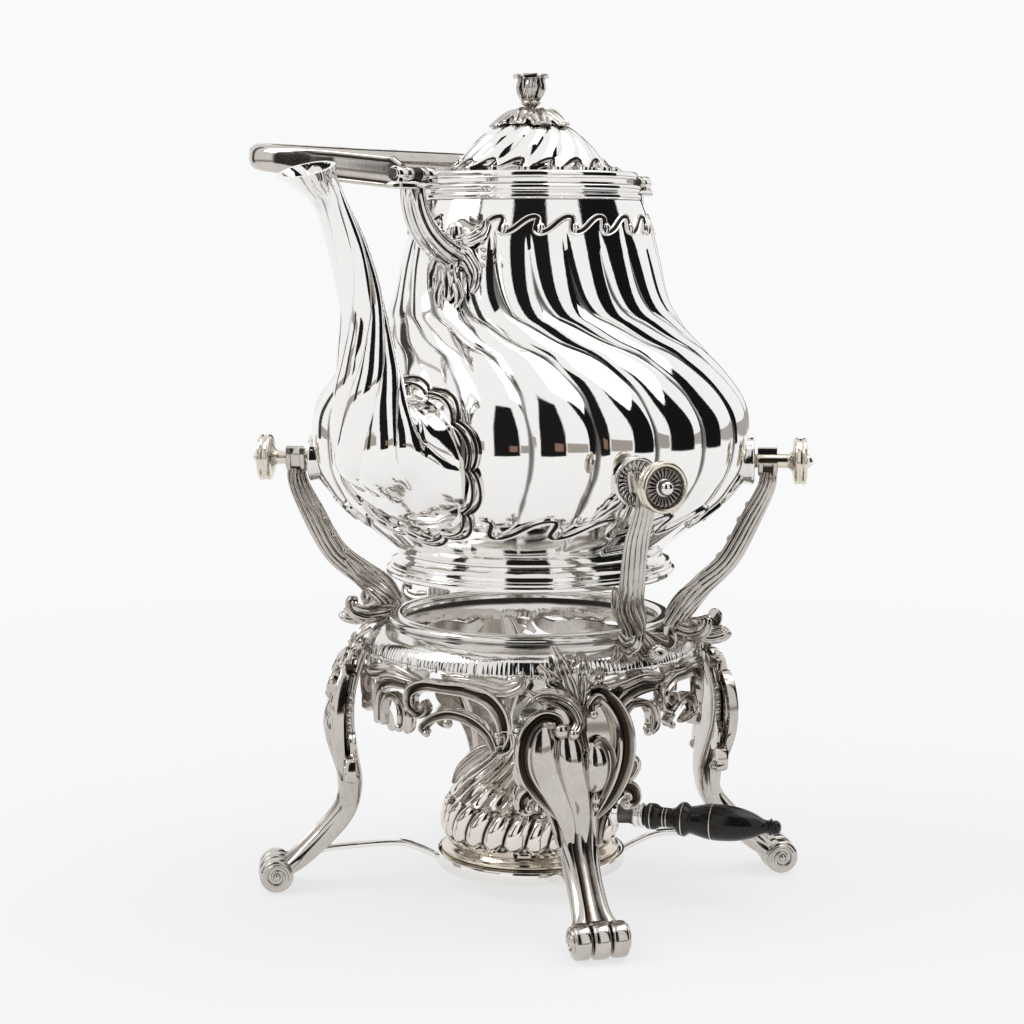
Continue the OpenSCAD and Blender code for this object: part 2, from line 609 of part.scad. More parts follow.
module leg(turn) {
    groove = 0.9;
    lobe_w = (foot_w - 2 * groove) / 3;
    profile = concat([[0, -foot_w / 2]],
        [for (k = [0 : 2]) let (y = -foot_w / 2 + k * (lobe_w + groove))
            each [[scroll_r - 0.8, y], [scroll_r, y + 0.8], [scroll_r, y + lobe_w - 0.8], [scroll_r - 0.8, y + lobe_w]]],
        [[0, foot_w / 2]]);
    color("silver") rotate([0, 0, turn]) difference() {
        union() {
            loft(swept([for (p = leg_rows) [p[0], 0, p[1]]], [0, 1, 0],
                [for (p = leg_rows) [for (q = oval(1, 1, 8)) [
                    p[3] * sign(q[0]) * pow(abs(q[0]), 0.6), p[2] * sign(q[1]) * pow(abs(q[1]), 0.6)]]]));
            translate([foot_reach, 0, foot_z]) rotate([90, 0, 0]) rotate_extrude() polygon(profile);
        }
        translate([0, -foot_w, -20]) cube([foot_reach * 2, 2 * foot_w, 20]);
    }
}

// Shield on the outer face of a leg
module shield(turn) {
    plate_t = 3.4;
    face_r = skirt_r + leg_face + 3.5;
    h = shield_w * 1.26;
    w = shield_w / 2;
    edge = spline([
        [0, h * 0.5], [w * 0.32, h * 0.42], [w * 0.62, h * 0.44], [w * 0.98, h * 0.28], [w * 0.94, h * 0.04],
        [w * 0.66, -h * 0.12], [w * 0.7, -h * 0.28], [w * 0.42, -h * 0.36], [0, -h * 0.5]], 3);
    outline = concat(edge, [for (i = [len(edge) - 2 : -1 : 1]) [-edge[i][0], edge[i][1]]]);
    dome_r = shield_w * 0.3;
    bulge = 4;
    ball_r = (dome_r * dome_r + bulge * bulge) / (2 * bulge);
    color("silver") rotate([0, 0, turn]) translate([face_r, 0, shield_z]) rotate([90, 0, 90]) union() {
        linear_extrude(height = plate_t) polygon(outline);
        intersection() {
            translate([0, h * 0.08, plate_t + bulge - ball_r]) sphere(r = ball_r);
            translate([0, h * 0.08, plate_t - 1]) cylinder(r = dome_r + 1, h = bulge + 2);
        }
    }
}

// Openwork scroll under the skirt, bent round it in three flats
module apron(turn) {
    t = 4;
    step = 22;
    drop = skirt_z - 1.6;
    color("silver") rotate([0, 0, turn]) for (s = [-1, 0, 1])
        rotate([0, 0, s * step]) translate([skirt_r - 4.6, 0, drop]) rotate([90, 0, 90])
            linear_extrude(height = t) {
                if (s == 0) {
                    polygon(band(curl(-9, -13, 9, 60, 3, 420, 2.4, 1.4, 20)));
                    polygon(band(curl(9, -13, 9, 120, 3, -240, 2.4, 1.4, 20)));
                    polygon([[-16, 0], [16, 0], [10, -5], [0, -7], [-10, -5]]);
                } else {
                    polygon(band(curl(2 * s, -11, 13, 90 - 90 * s, 4, 90 + 270 * s, 2.2, 1.6, 20)));
                    polygon([[-15, 0], [15, 0], [12, -4], [0, -5.4], [-12, -4]]);
                }
            }
}

// Ring and stays that carry the burner
carrier_r = burner_r + seat_gap + 0.3;
carrier_z = burner_z - seat_gap - 1.7;

module burner_ring() {
    color("silver") rotate_extrude() polygon([
        [burner_r - 5, carrier_z], [carrier_r + 1.6, carrier_z], [carrier_r + 1.6, carrier_z + 6],
        [carrier_r, carrier_z + 6], [carrier_r, carrier_z + 1.7], [burner_r - 5, carrier_z + 1.7]]);
}

module stay(turn) {
    stay_w = 5;
    tip = foot_reach - 22.7;
    rows = spline([
        [carrier_r + 2.4, carrier_z + 3, 1.5], [carrier_r + 10, carrier_z + 7.5, 1.5],
        [carrier_r + 21, carrier_z + 10.5, 1.5], [tip - 8, carrier_z + 9.5, 1.5], [tip + 2, carrier_z + 8, 1.5]], 3);
    color("silver") rotate([0, 0, turn]) rotate([90, 0, 0])
        linear_extrude(height = stay_w, center = true) polygon(band(rows));
}

// Burner
bowl_z = burner_z + 9;

module burner_base() {
    color("silver") rotate_extrude() polygon([
        [0, burner_z], [burner_r - 1, burner_z], [burner_r, burner_z + 1], [burner_r, burner_z + 2.6],
        [burner_r - 1.6, burner_z + 3.4], [burner_r - 1.6, burner_z + 4.4], [burner_r - 0.4, burner_z + 5.2],
        [burner_r - 0.4, burner_z + 6.6], [burner_r - 2.4, burner_z + 7.6], [burner_r - 4, bowl_z - solder_gap],
        [burner_r - 9, bowl_z - solder_gap], [burner_r - 9, burner_z + wall + 1], [0, burner_z + wall + 1]]);
}

// Bowl outline as [share of the largest radius, share of the height, gadroon depth]
bowl_shape = [
    [0.9, 0, 0.3], [0.975, 0.1, 1], [1, 0.25, 1.6], [0.925, 0.44, 1.8], [0.76, 0.64, 1.6],
    [0.53, 0.8, 1.1], [0.42, 0.92, 0.6], [0.4, 1, 0.2]];
bowl_line = spline(bowl_shape, 1);
bowl_turn = 46;

module burner_bowl() {
    color("silver") difference() {
        loft([for (p = bowl_line)
            raised(lobed(burner_r * p[0], gadroons, 3, p[2], bowl_turn * pow(p[1], 2)), bowl_z + bowl_h * p[1])]);
        rotate_extrude($fn = fine) polygon(concat(
            [[0, bowl_z - over]], [[burner_r * 0.9 - wall - 2, bowl_z - over]],
            [for (i = [1 : len(bowl_line) - 3])
                [burner_r * bowl_line[i][0] - wall - bowl_line[i][2], bowl_z + bowl_h * bowl_line[i][1] - 1]],
            [[filler_r, bowl_z + bowl_h * 0.9], [filler_r, bowl_z + bowl_h + over], [0, bowl_z + bowl_h + over]]));
    }
}

neck_z = bowl_z + bowl_h + solder_gap;
neck_h = 5;

module burner_neck() {
    r = burner_r * 0.4;
    color("silver") rotate_extrude() polygon([
        [filler_r, neck_z], [r - 0.4, neck_z], [r + 0.6, neck_z + 1.2], [r - 0.2, neck_z + 2.4],
        [r - 1.6, neck_z + 3], [r - 1.6, neck_z + neck_h], [filler_r, neck_z + neck_h]]);
}

wick_r = 4;

module wick_holder() {
    top = neck_z + neck_h + seat_gap;
    plug_r = filler_r - seat_gap;
    tube_wall = 1.2;
    color("silver") rotate_extrude() polygon([
        [wick_r + run_gap, top - 14], [plug_r, top - 14], [plug_r, top], [plug_r + 3, top], [plug_r + 3.4, top + 1],
        [plug_r + 2.4, top + 2], [wick_r + tube_wall + 1, top + 2.6], [wick_r + tube_wall, top + 4],
        [wick_r + tube_wall, top + 6], [wick_r + run_gap, top + 6]]);
}

module wick() {
    top = neck_z + neck_h + seat_gap;
    color("ivory") translate([0, 0, top - 36]) cylinder(r = wick_r, h = 36 + 8.5);
}

// Turned handle of the burner, along +Y
grip_z = bowl_z + bowl_h * 0.32;
socket_y = burner_r - 3;
socket_len = 17.4;

module grip_socket() {
    color("silver") rotate([0, 0, grip_turn]) translate([0, socket_y, grip_z]) rotate([-90, 0, 0]) rotate_extrude() polygon([
        [0, 0], [6.4, 0], [6.4, 3], [4.6, 4.6], [4.2, socket_len * 0.55], [5, socket_len - 5], [5.8, socket_len - 3.6],
        [5.8, socket_len - 1], [5, socket_len], [0, socket_len]]);
}

// The grip's outline, as [radius, share of the length]
grip_shape = [
    [4.8, 0], [6.2, 0.03], [6.2, 0.08], [4.7, 0.12], [4.7, 0.2], [6, 0.24], [8, 0.27], [8, 0.31], [6.2, 0.34]];
barrel_shape = spline([
    [0.78, 0.36], [0.96, 0.46], [1, 0.56], [0.92, 0.68], [0.7, 0.79], [0.44, 0.86], [0.36, 0.89]], 2);

module burner_grip() {
    knob = [[3.2, 0.91], [4.2, 0.925], [3, 0.94], [3.35, 0.965], [2.6, 0.99], [0, 1]];
    color("#1a1614") rotate([0, 0, grip_turn]) translate([0, socket_y + socket_len + solder_gap, grip_z]) rotate([-90, 0, 0])
        rotate_extrude() polygon(concat(
            [[0, 0]],
            [for (p = grip_shape) [p[0], grip_len * p[1]]],
            [for (p = barrel_shape) [grip_r * p[0], grip_len * p[1]]],
            [for (p = knob) [p[0], grip_len * p[1]]]));
}

kettle_shell();
foot_ring();
mouth_rim();
spout();
spout_border();
for (i = [0 : 3]) {
    boss(PIN_TURN[i]);
    pin(PIN_TURN[i]);
    arm(PIN_TURN[i]);
    leg(LEG_TURN[i]);
    shield(LEG_TURN[i]);
    stay(LEG_TURN[i]);
    apron(SIDE_TURN[i]);
}
pin_buttons();
front_lug();
rear_lug();
handle_hinge_pins();
lid_hinge_pin();
lid_bezel();
lid_dome();
finial_leaves();
finial_bud();
finial_screw();
handle_bow();
stand_ring();
burner_ring();
burner_base();
burner_bowl();
burner_neck();
grip_socket();
burner_grip();
wick_holder();
wick();
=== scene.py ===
"""Looks of a spirally lobed silver kettle on its scrolled stand, with a spirit burner.

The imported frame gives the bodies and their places. The classes hold their sizes in millimetres,
with the table at z = 0, the spout towards +X and the burner's grip towards +Y.
"""

import logging
import math
from dataclasses import dataclass, field
from enum import Enum
from functools import cached_property
from typing import Callable, Sequence

import bmesh
import bpy
import numpy as np
from mathutils import Matrix, Vector


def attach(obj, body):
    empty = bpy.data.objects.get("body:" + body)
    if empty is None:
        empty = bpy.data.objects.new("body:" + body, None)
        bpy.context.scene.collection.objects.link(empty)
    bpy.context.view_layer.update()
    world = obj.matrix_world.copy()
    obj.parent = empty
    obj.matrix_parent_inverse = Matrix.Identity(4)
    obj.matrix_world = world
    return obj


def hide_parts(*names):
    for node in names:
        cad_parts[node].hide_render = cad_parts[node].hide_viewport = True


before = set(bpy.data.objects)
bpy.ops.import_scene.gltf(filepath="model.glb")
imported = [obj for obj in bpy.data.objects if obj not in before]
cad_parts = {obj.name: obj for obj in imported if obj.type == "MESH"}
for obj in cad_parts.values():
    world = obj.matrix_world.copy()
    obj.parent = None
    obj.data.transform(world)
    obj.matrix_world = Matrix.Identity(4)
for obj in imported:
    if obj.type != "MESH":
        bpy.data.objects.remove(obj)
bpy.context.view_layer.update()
LOG = logging.getLogger("kettle")
MM = 0.001
Row = Sequence[float]
Loop = list[Vector]
Section = list[tuple[float, float]]


class Side(Enum):
    """The four corners and what they are called in the frame."""

    FRONT_LEFT = (1, 1)
    FRONT_RIGHT = (1, -1)
    REAR_LEFT = (-1, 1)
    REAR_RIGHT = (-1, -1)

    @property
    def label(self) -> str:
        """The corner's name in the frame's node names."""
        return self.name.lower()

    def turn(self, angle: float) -> float:
        """Angle round the axis of a thing that stands this far from the spout's plane."""
        ahead, side = self.value
        return side * (angle if ahead > 0 else 180 - angle)


class Body(Enum):
    """The bodies that pieces ride on."""

    STAND = "stand"
    KETTLE = "kettle"
    LID = "lid"
    HANDLE = "handle"
    BURNER = "burner"
    WICK_HOLDER = "wick_holder"


# ---------------------------------------------------------------- numbers and curves


def spline(rows: Sequence[Row], steps: int) -> list[tuple[float, ...]]:
    """Smooth curve through rows of numbers.

    Args:
        rows: the points or rows that the curve passes through.
        steps: steps between neighbours.
    Returns:
        The rows of the curve, the last one included.
    """
    out: list[tuple[float, ...]] = []
    last = len(rows) - 1
    for i in range(last):
        a, b, c, d = rows[max(i - 1, 0)], rows[i], rows[i + 1], rows[min(i + 2, last)]
        for k in range(steps):
            t = k / steps
            out.append(tuple(
                0.5 * (2 * q + (r - p) * t + (2 * p - 5 * q + 4 * r - s) * t * t
                       + (3 * q - p - 3 * r + s) * t ** 3)
                for p, q, r, s in zip(a, b, c, d)))
    out.append(tuple(rows[last]))
    return out


def lookup(x: float, table: Sequence[Row], column: int = 1) -> float:
    """Value in a table of rising first numbers, straight between rows and flat past its ends."""
    if x <= table[0][0]:
        return table[0][column]
    for low, high in zip(table, table[1:]):
        if x <= high[0]:
            t = (x - low[0]) / max(high[0] - low[0], 1e-9)
            return low[column] + (high[column] - low[column]) * t
    return table[-1][column]


def polar(radius: float, degrees: float, z: float) -> Vector:
    """Point at a radius, an angle round the axis and a height."""
    a = math.radians(degrees)
    return Vector((radius * math.cos(a), radius * math.sin(a), z))


def heading(path: Sequence[Vector], i: int, closed: bool = False) -> Vector:
    """Unit direction of a path at its point i."""
    n = len(path)
    if closed:
        return (path[(i + 1) % n] - path[(i - 1) % n]).normalized()
    return (path[min(i + 1, n - 1)] - path[max(i - 1, 0)]).normalized()


def ease(x: float) -> float:
    """Smooth step from 0 to 1."""
    x = min(1.0, max(0.0, x))
    return x * x * (3 - 2 * x)


def lobes(t: float, depth: float, sharp: float = 1.0) -> float:
    """How far a lobed edge falls back at the share t of one lobe."""
    return depth * (1 - math.sin(math.pi * (t % 1.0)) ** sharp)


def oval(a: float, b: float, n: int = 12, power: float = 1.0) -> Section:
    """Oval or squared section of half sizes a and b."""
    out = []
    for k in range(n):
        c, s = math.cos(2 * math.pi * k / n), math.sin(2 * math.pi * k / n)
        out.append((a * math.copysign(abs(c) ** power, c), b * math.copysign(abs(s) ** power, s)))
    return out


def reeded(a: float, b: float, n: int, reeds: int, depth: float) -> Section:
    """Oval section whose surface is cut into reeds."""
    out = []
    for k in range(n):
        w = 2 * math.pi * k / n
        f = 1 - depth * (1 - abs(math.cos(reeds * w / 2))) / max(a, b)
        out.append((a * f * math.cos(w), b * f * math.sin(w)))
    return out


def ribbon(half: float, high: float) -> Section:
    """Band with a raised bead along each edge and a sunk middle."""
    return [(half, -0.4), (half * 0.96, high * 0.55), (half * 0.8, high), (half * 0.56, high * 0.86),
            (half * 0.36, high * 0.42), (0, high * 0.34), (-half * 0.36, high * 0.42),
            (-half * 0.56, high * 0.86), (-half * 0.8, high), (-half * 0.96, high * 0.55), (-half, -0.4)]


def blade(half: float, high: float, folds: int, groove: float, n: int = 17) -> Section:
    """Leaf section: a crowned top with folds that run along it, and a flat back."""
    top = []
    for k in range(n):
        t = 1 - 2 * k / (n - 1)
        crown = high * (1 - abs(t) ** 2.4) ** 0.7
        fold = groove * (0.5 - 0.5 * math.cos(2 * math.pi * folds * (t + 1) / 2)) * (1 - abs(t) ** 6)
        top.append((half * t, max(0.05, crown - fold)))
    return top + [(-half * 0.9, -0.5), (half * 0.9, -0.5)]


def leaf(wide: float, high: float, folds: int, groove: float, least: float = 0.6, start: float = 0.2,
         span: float = 0.76, power: float = 0.8, fall: float = 0.0, waves: float = 0.0, notch: float = 0.0,
         n: int = 17) -> Callable[[float], Section]:
    """A leaf that swells and narrows along its path.

    Args:
        wide: half width that the swell adds.
        high: height of its crown at the root.
        folds: folds that run along it.
        groove: depth of the folds.
        least: half width at its narrowest.
        start: share of the swell at the root.
        span: share of the swell that the path covers.
        power: how blunt the swell is, below 1 for a fuller leaf.
        fall: how much the crown sinks to the tip.
        waves: half waves along its edges.
        notch: depth of those waves as a share of the swell.
        n: points across its top.
    Returns:
        The section at a share of the path.
    """
    def section(t: float) -> Section:
        """Section at the share t."""
        swell = math.sin(math.pi * min(1, start + span * t)) ** power
        edge = 1 - notch + notch * abs(math.cos(waves * math.pi * t))
        return blade(least + wide * swell * edge, high - fall * t, folds, groove, n)

    return section


# ---------------------------------------------------------------- finishes


class Nodes:
    """Short-hand for the nodes of one tree."""

    def __init__(self, tree: bpy.types.NodeTree) -> None:
        """Starts with an emptied tree."""
        self.tree = tree
        tree.nodes.clear()

    def add(self, kind: str, **values: object) -> bpy.types.Node:
        """Adds a node.

        Args:
            kind: the node's type without its ShaderNode prefix.
            values: properties, or input sockets by name with underscores for spaces.
        Returns:
            The new node.
        """
        prefix = "" if kind.startswith("NodeGroup") else "ShaderNode"
        node = self.tree.nodes.new(prefix + kind)
        for name, value in values.items():
            if hasattr(node, name):
                setattr(node, name, value)
            else:
                node.inputs[name.replace("_", " ")].default_value = value
        return node

    def link(self, source: bpy.types.NodeSocket, target: bpy.types.NodeSocket) -> None:
        """Joins two sockets."""
        self.tree.links.new(source, target)


def make_group(name: str, inputs: dict[str, float], outputs: dict[str, str],
               wire: Callable[[Nodes, bpy.types.Node, bpy.types.Node], None]) -> bpy.types.NodeTree:
    """Builds a shader node group.

    Args:
        name: the group's name.
        inputs: float inputs with their defaults.
        outputs: outputs with their socket types.
        wire: adds the inner nodes between the group's input and output nodes.
    Returns:
        The group.
    """
    tree = bpy.data.node_groups.new(name, "ShaderNodeTree")
    for key, value in inputs.items():
        socket = tree.interface.new_socket(name=key, in_out="INPUT", socket_type="NodeSocketFloat")
        socket.default_value = value
    for key, kind in outputs.items():
        tree.interface.new_socket(name=key, in_out="OUTPUT", socket_type=kind)
    nodes = Nodes(tree)
    wire(nodes, nodes.add("NodeGroupInput"), nodes.add("NodeGroupOutput"))
    return tree


def wired(name: str, shade: Callable[[Nodes], bpy.types.Node]) -> bpy.types.Material:
    """Builds a material.

    Args:
        name: the material's name.
        shade: adds the nodes and gives the one that feeds the surface.
    Returns:
        The material.
    """
    made = bpy.data.materials.new(name)
    made.use_nodes = True
    nodes = Nodes(made.node_tree)
    nodes.link(shade(nodes).outputs[0], nodes.add("OutputMaterial").inputs["Surface"])
    return made


def sharp_rays(nodes: Nodes) -> bpy.types.NodeSocket:
    """Socket that is 1 for what the camera sees, directly or in a mirror or a glass."""
    rays = nodes.add("LightPath")
    seen = nodes.add("Math", operation="MAXIMUM")
    nodes.link(rays.outputs["Is Camera Ray"], seen.inputs[0])
    nodes.link(rays.outputs["Is Glossy Ray"], seen.inputs[1])
    also = nodes.add("Math", operation="MAXIMUM")
    nodes.link(seen.outputs[0], also.inputs[0])
    nodes.link(rays.outputs["Is Transmission Ray"], also.inputs[1])
    return also.outputs[0]


def wire_tarnish_and_shade(nodes: Nodes, given: bpy.types.Node, out: bpy.types.Node) -> None:
    """Dark oxide and painted shade that gather in hollows, with oxide in faint clouds, as a mask and a
    roughness.
    """
    place = nodes.add("TexCoord")
    attribute = nodes.add("Attribute", attribute_name="recess")
    cloud = nodes.add("TexNoise", Scale=55.0, Detail=4.0, Roughness=0.6)
    speck = nodes.add("TexNoise", Scale=620.0, Detail=2.0, Roughness=0.5)
    for texture in (cloud, speck):
        nodes.link(place.outputs["Object"], texture.inputs["Vector"])
    spread = nodes.add("Math", operation="MULTIPLY_ADD")
    nodes.link(cloud.outputs["Fac"], spread.inputs[0])
    spread.inputs[1].default_value = 0.5
    nodes.link(attribute.outputs["Fac"], spread.inputs[2])
    edge = nodes.add("MapRange", interpolation_type="SMOOTHSTEP")
    nodes.link(spread.outputs[0], edge.inputs["Value"])
    nodes.link(given.outputs["Start"], edge.inputs["From Min"])
    nodes.link(given.outputs["Full"], edge.inputs["From Max"])
    # mask of the hollows: partly oxide, partly painted shade
    mask = nodes.add("Math", operation="MULTIPLY")
    nodes.link(edge.outputs[0], mask.inputs[0])
    nodes.link(given.outputs["Strength"], mask.inputs[1])
    film = nodes.add("Math", operation="MULTIPLY_ADD")
    nodes.link(speck.outputs["Fac"], film.inputs[0])
    nodes.link(given.outputs["Film"], film.inputs[1])
    nodes.link(mask.outputs[0], film.inputs[2])
    nodes.link(film.outputs[0], out.inputs["Mask"])
    rough = nodes.add("MapRange")
    nodes.link(mask.outputs[0], rough.inputs["Value"])
    nodes.link(given.outputs["Polish"], rough.inputs["To Min"])
    nodes.link(given.outputs["Dull"], rough.inputs["To Max"])
    wear = nodes.add("Math", operation="MULTIPLY_ADD")
    nodes.link(speck.outputs["Fac"], wear.inputs[0])
    wear.inputs[1].default_value = 0.03
    nodes.link(rough.outputs[0], wear.inputs[2])
    nodes.link(wear.outputs[0], out.inputs["Roughness"])


def wire_hand_work(nodes: Nodes, given: bpy.types.Node, out: bpy.types.Node) -> None:
    """Faint planishing waves and polishing scratches, as a normal."""
    place = nodes.add("TexCoord")
    wave = nodes.add("TexNoise", Scale=38.0, Detail=1.0, Roughness=0.4)
    nodes.link(place.outputs["Object"], wave.inputs["Vector"])
    stretch = nodes.add("Mapping", Scale=(1500.0, 1500.0, 90.0), Rotation=(0.4, 0.3, 0.2))
    nodes.link(place.outputs["Object"], stretch.inputs["Vector"])
    scratch = nodes.add("TexNoise", Scale=1.0, Detail=3.0, Roughness=0.7)
    nodes.link(stretch.outputs[0], scratch.inputs["Vector"])
    first = nodes.add("Bump", Distance=0.001)
    nodes.link(wave.outputs["Fac"], first.inputs["Height"])
    nodes.link(given.outputs["Waves"], first.inputs["Strength"])
    second = nodes.add("Bump", Distance=0.00005)
    nodes.link(scratch.outputs["Fac"], second.inputs["Height"])
    nodes.link(given.outputs["Scratches"], second.inputs["Strength"])
    nodes.link(first.outputs[0], second.inputs["Normal"])
    nodes.link(second.outputs[0], out.inputs["Normal"])


# group that paints oxide and shade into the hollows
TARNISH_AND_SHADE = make_group(
    "hollow_tarnish_and_shade", {"Start": 0.3, "Full": 0.9, "Strength": 1.0, "Film": 0.0, "Polish": 0.05, "Dull": 0.4},
    {"Mask": "NodeSocketFloat", "Roughness": "NodeSocketFloat"}, wire_tarnish_and_shade)
HAND_WORK = make_group(
    "hand_work", {"Waves": 0.1, "Scratches": 0.2}, {"Normal": "NodeSocketVector"}, wire_hand_work)


class Finish:
    """A material that is built once, for every piece that has it."""

    name: str
    slot: str

    def shader(self, nodes: Nodes) -> bpy.types.Node:
        """Adds the material's nodes and gives its shader."""
        raise NotImplementedError

    def material(self) -> bpy.types.Material:
        """Builds the material, or gives the one already built."""
        return bpy.data.materials.get(self.name) or wired(self.name, self.shader)


@dataclass(frozen=True)
class MetalFinish(Finish):
    """Polished metal, dark in its hollows with oxide and painted shade."""

    name: str
    colour: tuple[float, float, float] = (0.93, 0.92, 0.9)
    oxide: tuple[float, float, float] = (0.035, 0.028, 0.022)
    polish: float = 0.04
    dull: float = 0.45
    start: float = 0.34
    full: float = 0.95
    strength: float = 1.0
    film: float = 0.03
    waves: float = 0.05
    scratches: float = 0.2
    slot: str = "silver"

    def shader(self, nodes: Nodes) -> bpy.types.Node:
        """Adds the material's nodes and gives its shader."""
        shader = nodes.add("BsdfPrincipled", Metallic=1.0, IOR=1.5)
        tarnish_and_shade = nodes.add("Group", node_tree=TARNISH_AND_SHADE)
        for socket, value in (("Start", self.start), ("Full", self.full), ("Strength", self.strength),
                              ("Film", self.film), ("Polish", self.polish), ("Dull", self.dull)):
            tarnish_and_shade.inputs[socket].default_value = value
        work = nodes.add("Group", node_tree=HAND_WORK)
        work.inputs["Waves"].default_value = self.waves
        work.inputs["Scratches"].default_value = self.scratches
        # hollows take the dark colour: partly oxide, partly painted shade
        colour = nodes.add("Mix", data_type="RGBA")
        colour.inputs[6].default_value = (*self.colour, 1)
        colour.inputs[7].default_value = (*self.oxide, 1)
        nodes.link(tarnish_and_shade.outputs["Mask"], colour.inputs[0])
        nodes.link(colour.outputs[2], shader.inputs["Base Color"])
        nodes.link(tarnish_and_shade.outputs["Roughness"], shader.inputs["Roughness"])
        nodes.link(work.outputs["Normal"], shader.inputs["Normal"])
        return shader


@dataclass(frozen=True)
class EbonyFinish(Finish):
    """Black turned wood with a fine grain along the grip and a waxed shine."""

    name: str = "ebony_waxed"
    dark: tuple[float, float, float] = (0.003, 0.0025, 0.0025)
    light: tuple[float, float, float] = (0.016, 0.011, 0.008)
    slot: str = "ebony"

    def shader(self, nodes: Nodes) -> bpy.types.Node:
        """Adds the material's nodes and gives its shader."""
        shader = nodes.add("BsdfPrincipled", IOR=1.3, Coat_Weight=0.35, Coat_Roughness=0.05)
        place = nodes.add("TexCoord")
        along = nodes.add("Mapping", Scale=(900.0, 35.0, 900.0))
        nodes.link(place.outputs["Object"], along.inputs["Vector"])
        grain = nodes.add("TexNoise", Scale=1.0, Detail=5.0, Roughness=0.65)
        nodes.link(along.outputs[0], grain.inputs["Vector"])
        ramp = nodes.add("MapRange", From_Min=0.42, From_Max=0.7)
        nodes.link(grain.outputs["Fac"], ramp.inputs["Value"])
        colour = nodes.add("Mix", data_type="RGBA")
        colour.inputs[6].default_value = (*self.dark, 1)
        colour.inputs[7].default_value = (*self.light, 1)
        nodes.link(ramp.outputs[0], colour.inputs[0])
        nodes.link(colour.outputs[2], shader.inputs["Base Color"])
        gloss = nodes.add("MapRange", To_Min=0.2, To_Max=0.38)
        nodes.link(grain.outputs["Fac"], gloss.inputs["Value"])
        nodes.link(gloss.outputs[0], shader.inputs["Roughness"])
        bump = nodes.add("Bump", Distance=0.0001, Strength=0.25)
        nodes.link(grain.outputs["Fac"], bump.inputs["Height"])
        nodes.link(bump.outputs[0], shader.inputs["Normal"])
        return shader


@dataclass(frozen=True)
class WickFinish(Finish):
    """Plaited cotton, scorched at the top."""

    name: str = "cotton_wick"
    clean: tuple[float, float, float] = (0.72, 0.66, 0.53)
    burnt: tuple[float, float, float] = (0.03, 0.025, 0.02)
    burnt_z: float = 78.0
    slot: str = "cotton"

    def shader(self, nodes: Nodes) -> bpy.types.Node:
        """Adds the material's nodes and gives its shader."""
        shader = nodes.add("BsdfPrincipled", Roughness=0.95, Sheen_Weight=0.3)
        place = nodes.add("TexCoord")
        split = nodes.add("SeparateXYZ")
        nodes.link(place.outputs["Object"], split.inputs[0])
        scorch = nodes.add("MapRange", From_Min=self.burnt_z * MM, From_Max=(self.burnt_z + 4) * MM)
        nodes.link(split.outputs["Z"], scorch.inputs["Value"])
        colour = nodes.add("Mix", data_type="RGBA")
        colour.inputs[6].default_value = (*self.clean, 1)
        colour.inputs[7].default_value = (*self.burnt, 1)
        nodes.link(scorch.outputs[0], colour.inputs[0])
        nodes.link(colour.outputs[2], shader.inputs["Base Color"])
        thread = nodes.add("TexNoise", Scale=2400.0, Detail=2.0)
        nodes.link(place.outputs["Object"], thread.inputs["Vector"])
        bump = nodes.add("Bump", Distance=0.0003, Strength=0.6)
        nodes.link(thread.outputs["Fac"], bump.inputs["Height"])
        nodes.link(bump.outputs[0], shader.inputs["Normal"])
        return shader


RAISED_SILVER = MetalFinish("raised_silver", start=0.7, full=1.5, strength=0.75, polish=0.03, waves=0.03)
LAMP_SILVER = MetalFinish("lamp_silver", colour=(0.84, 0.79, 0.735), start=0.4, full=1.2, strength=0.9,
                          film=0.08)
PLAIN_SILVER = MetalFinish("plain_silver", colour=(0.9, 0.885, 0.86), start=0.5, full=1.3, strength=0.85,
                           waves=0.03)
CHASED_SILVER = MetalFinish("chased_silver", colour=(0.84, 0.82, 0.79), start=0.3, full=0.95, dull=0.5,
                            polish=0.07, film=0.1)
CAST_SILVER = MetalFinish("cast_silver", colour=(0.7, 0.655, 0.61), oxide=(0.045, 0.032, 0.023), start=0.1,
                          full=1.0, dull=0.42, polish=0.08, film=0.2, scratches=0.15)
DARK_RAYS = MetalFinish("oxidised_rays", colour=(0.36, 0.33, 0.3), oxide=(0.02, 0.016, 0.013), start=0.1,
                        full=0.7, polish=0.14, film=0.2)
WORN_GILT = MetalFinish("worn_gilt", colour=(0.8, 0.74, 0.63), start=0.36, full=0.95, polish=0.12,
                        film=0.14, scratches=0.4, slot="gilt_silver")
EBONY = EbonyFinish()
COTTON = WickFinish()


# ---------------------------------------------------------------- shaping


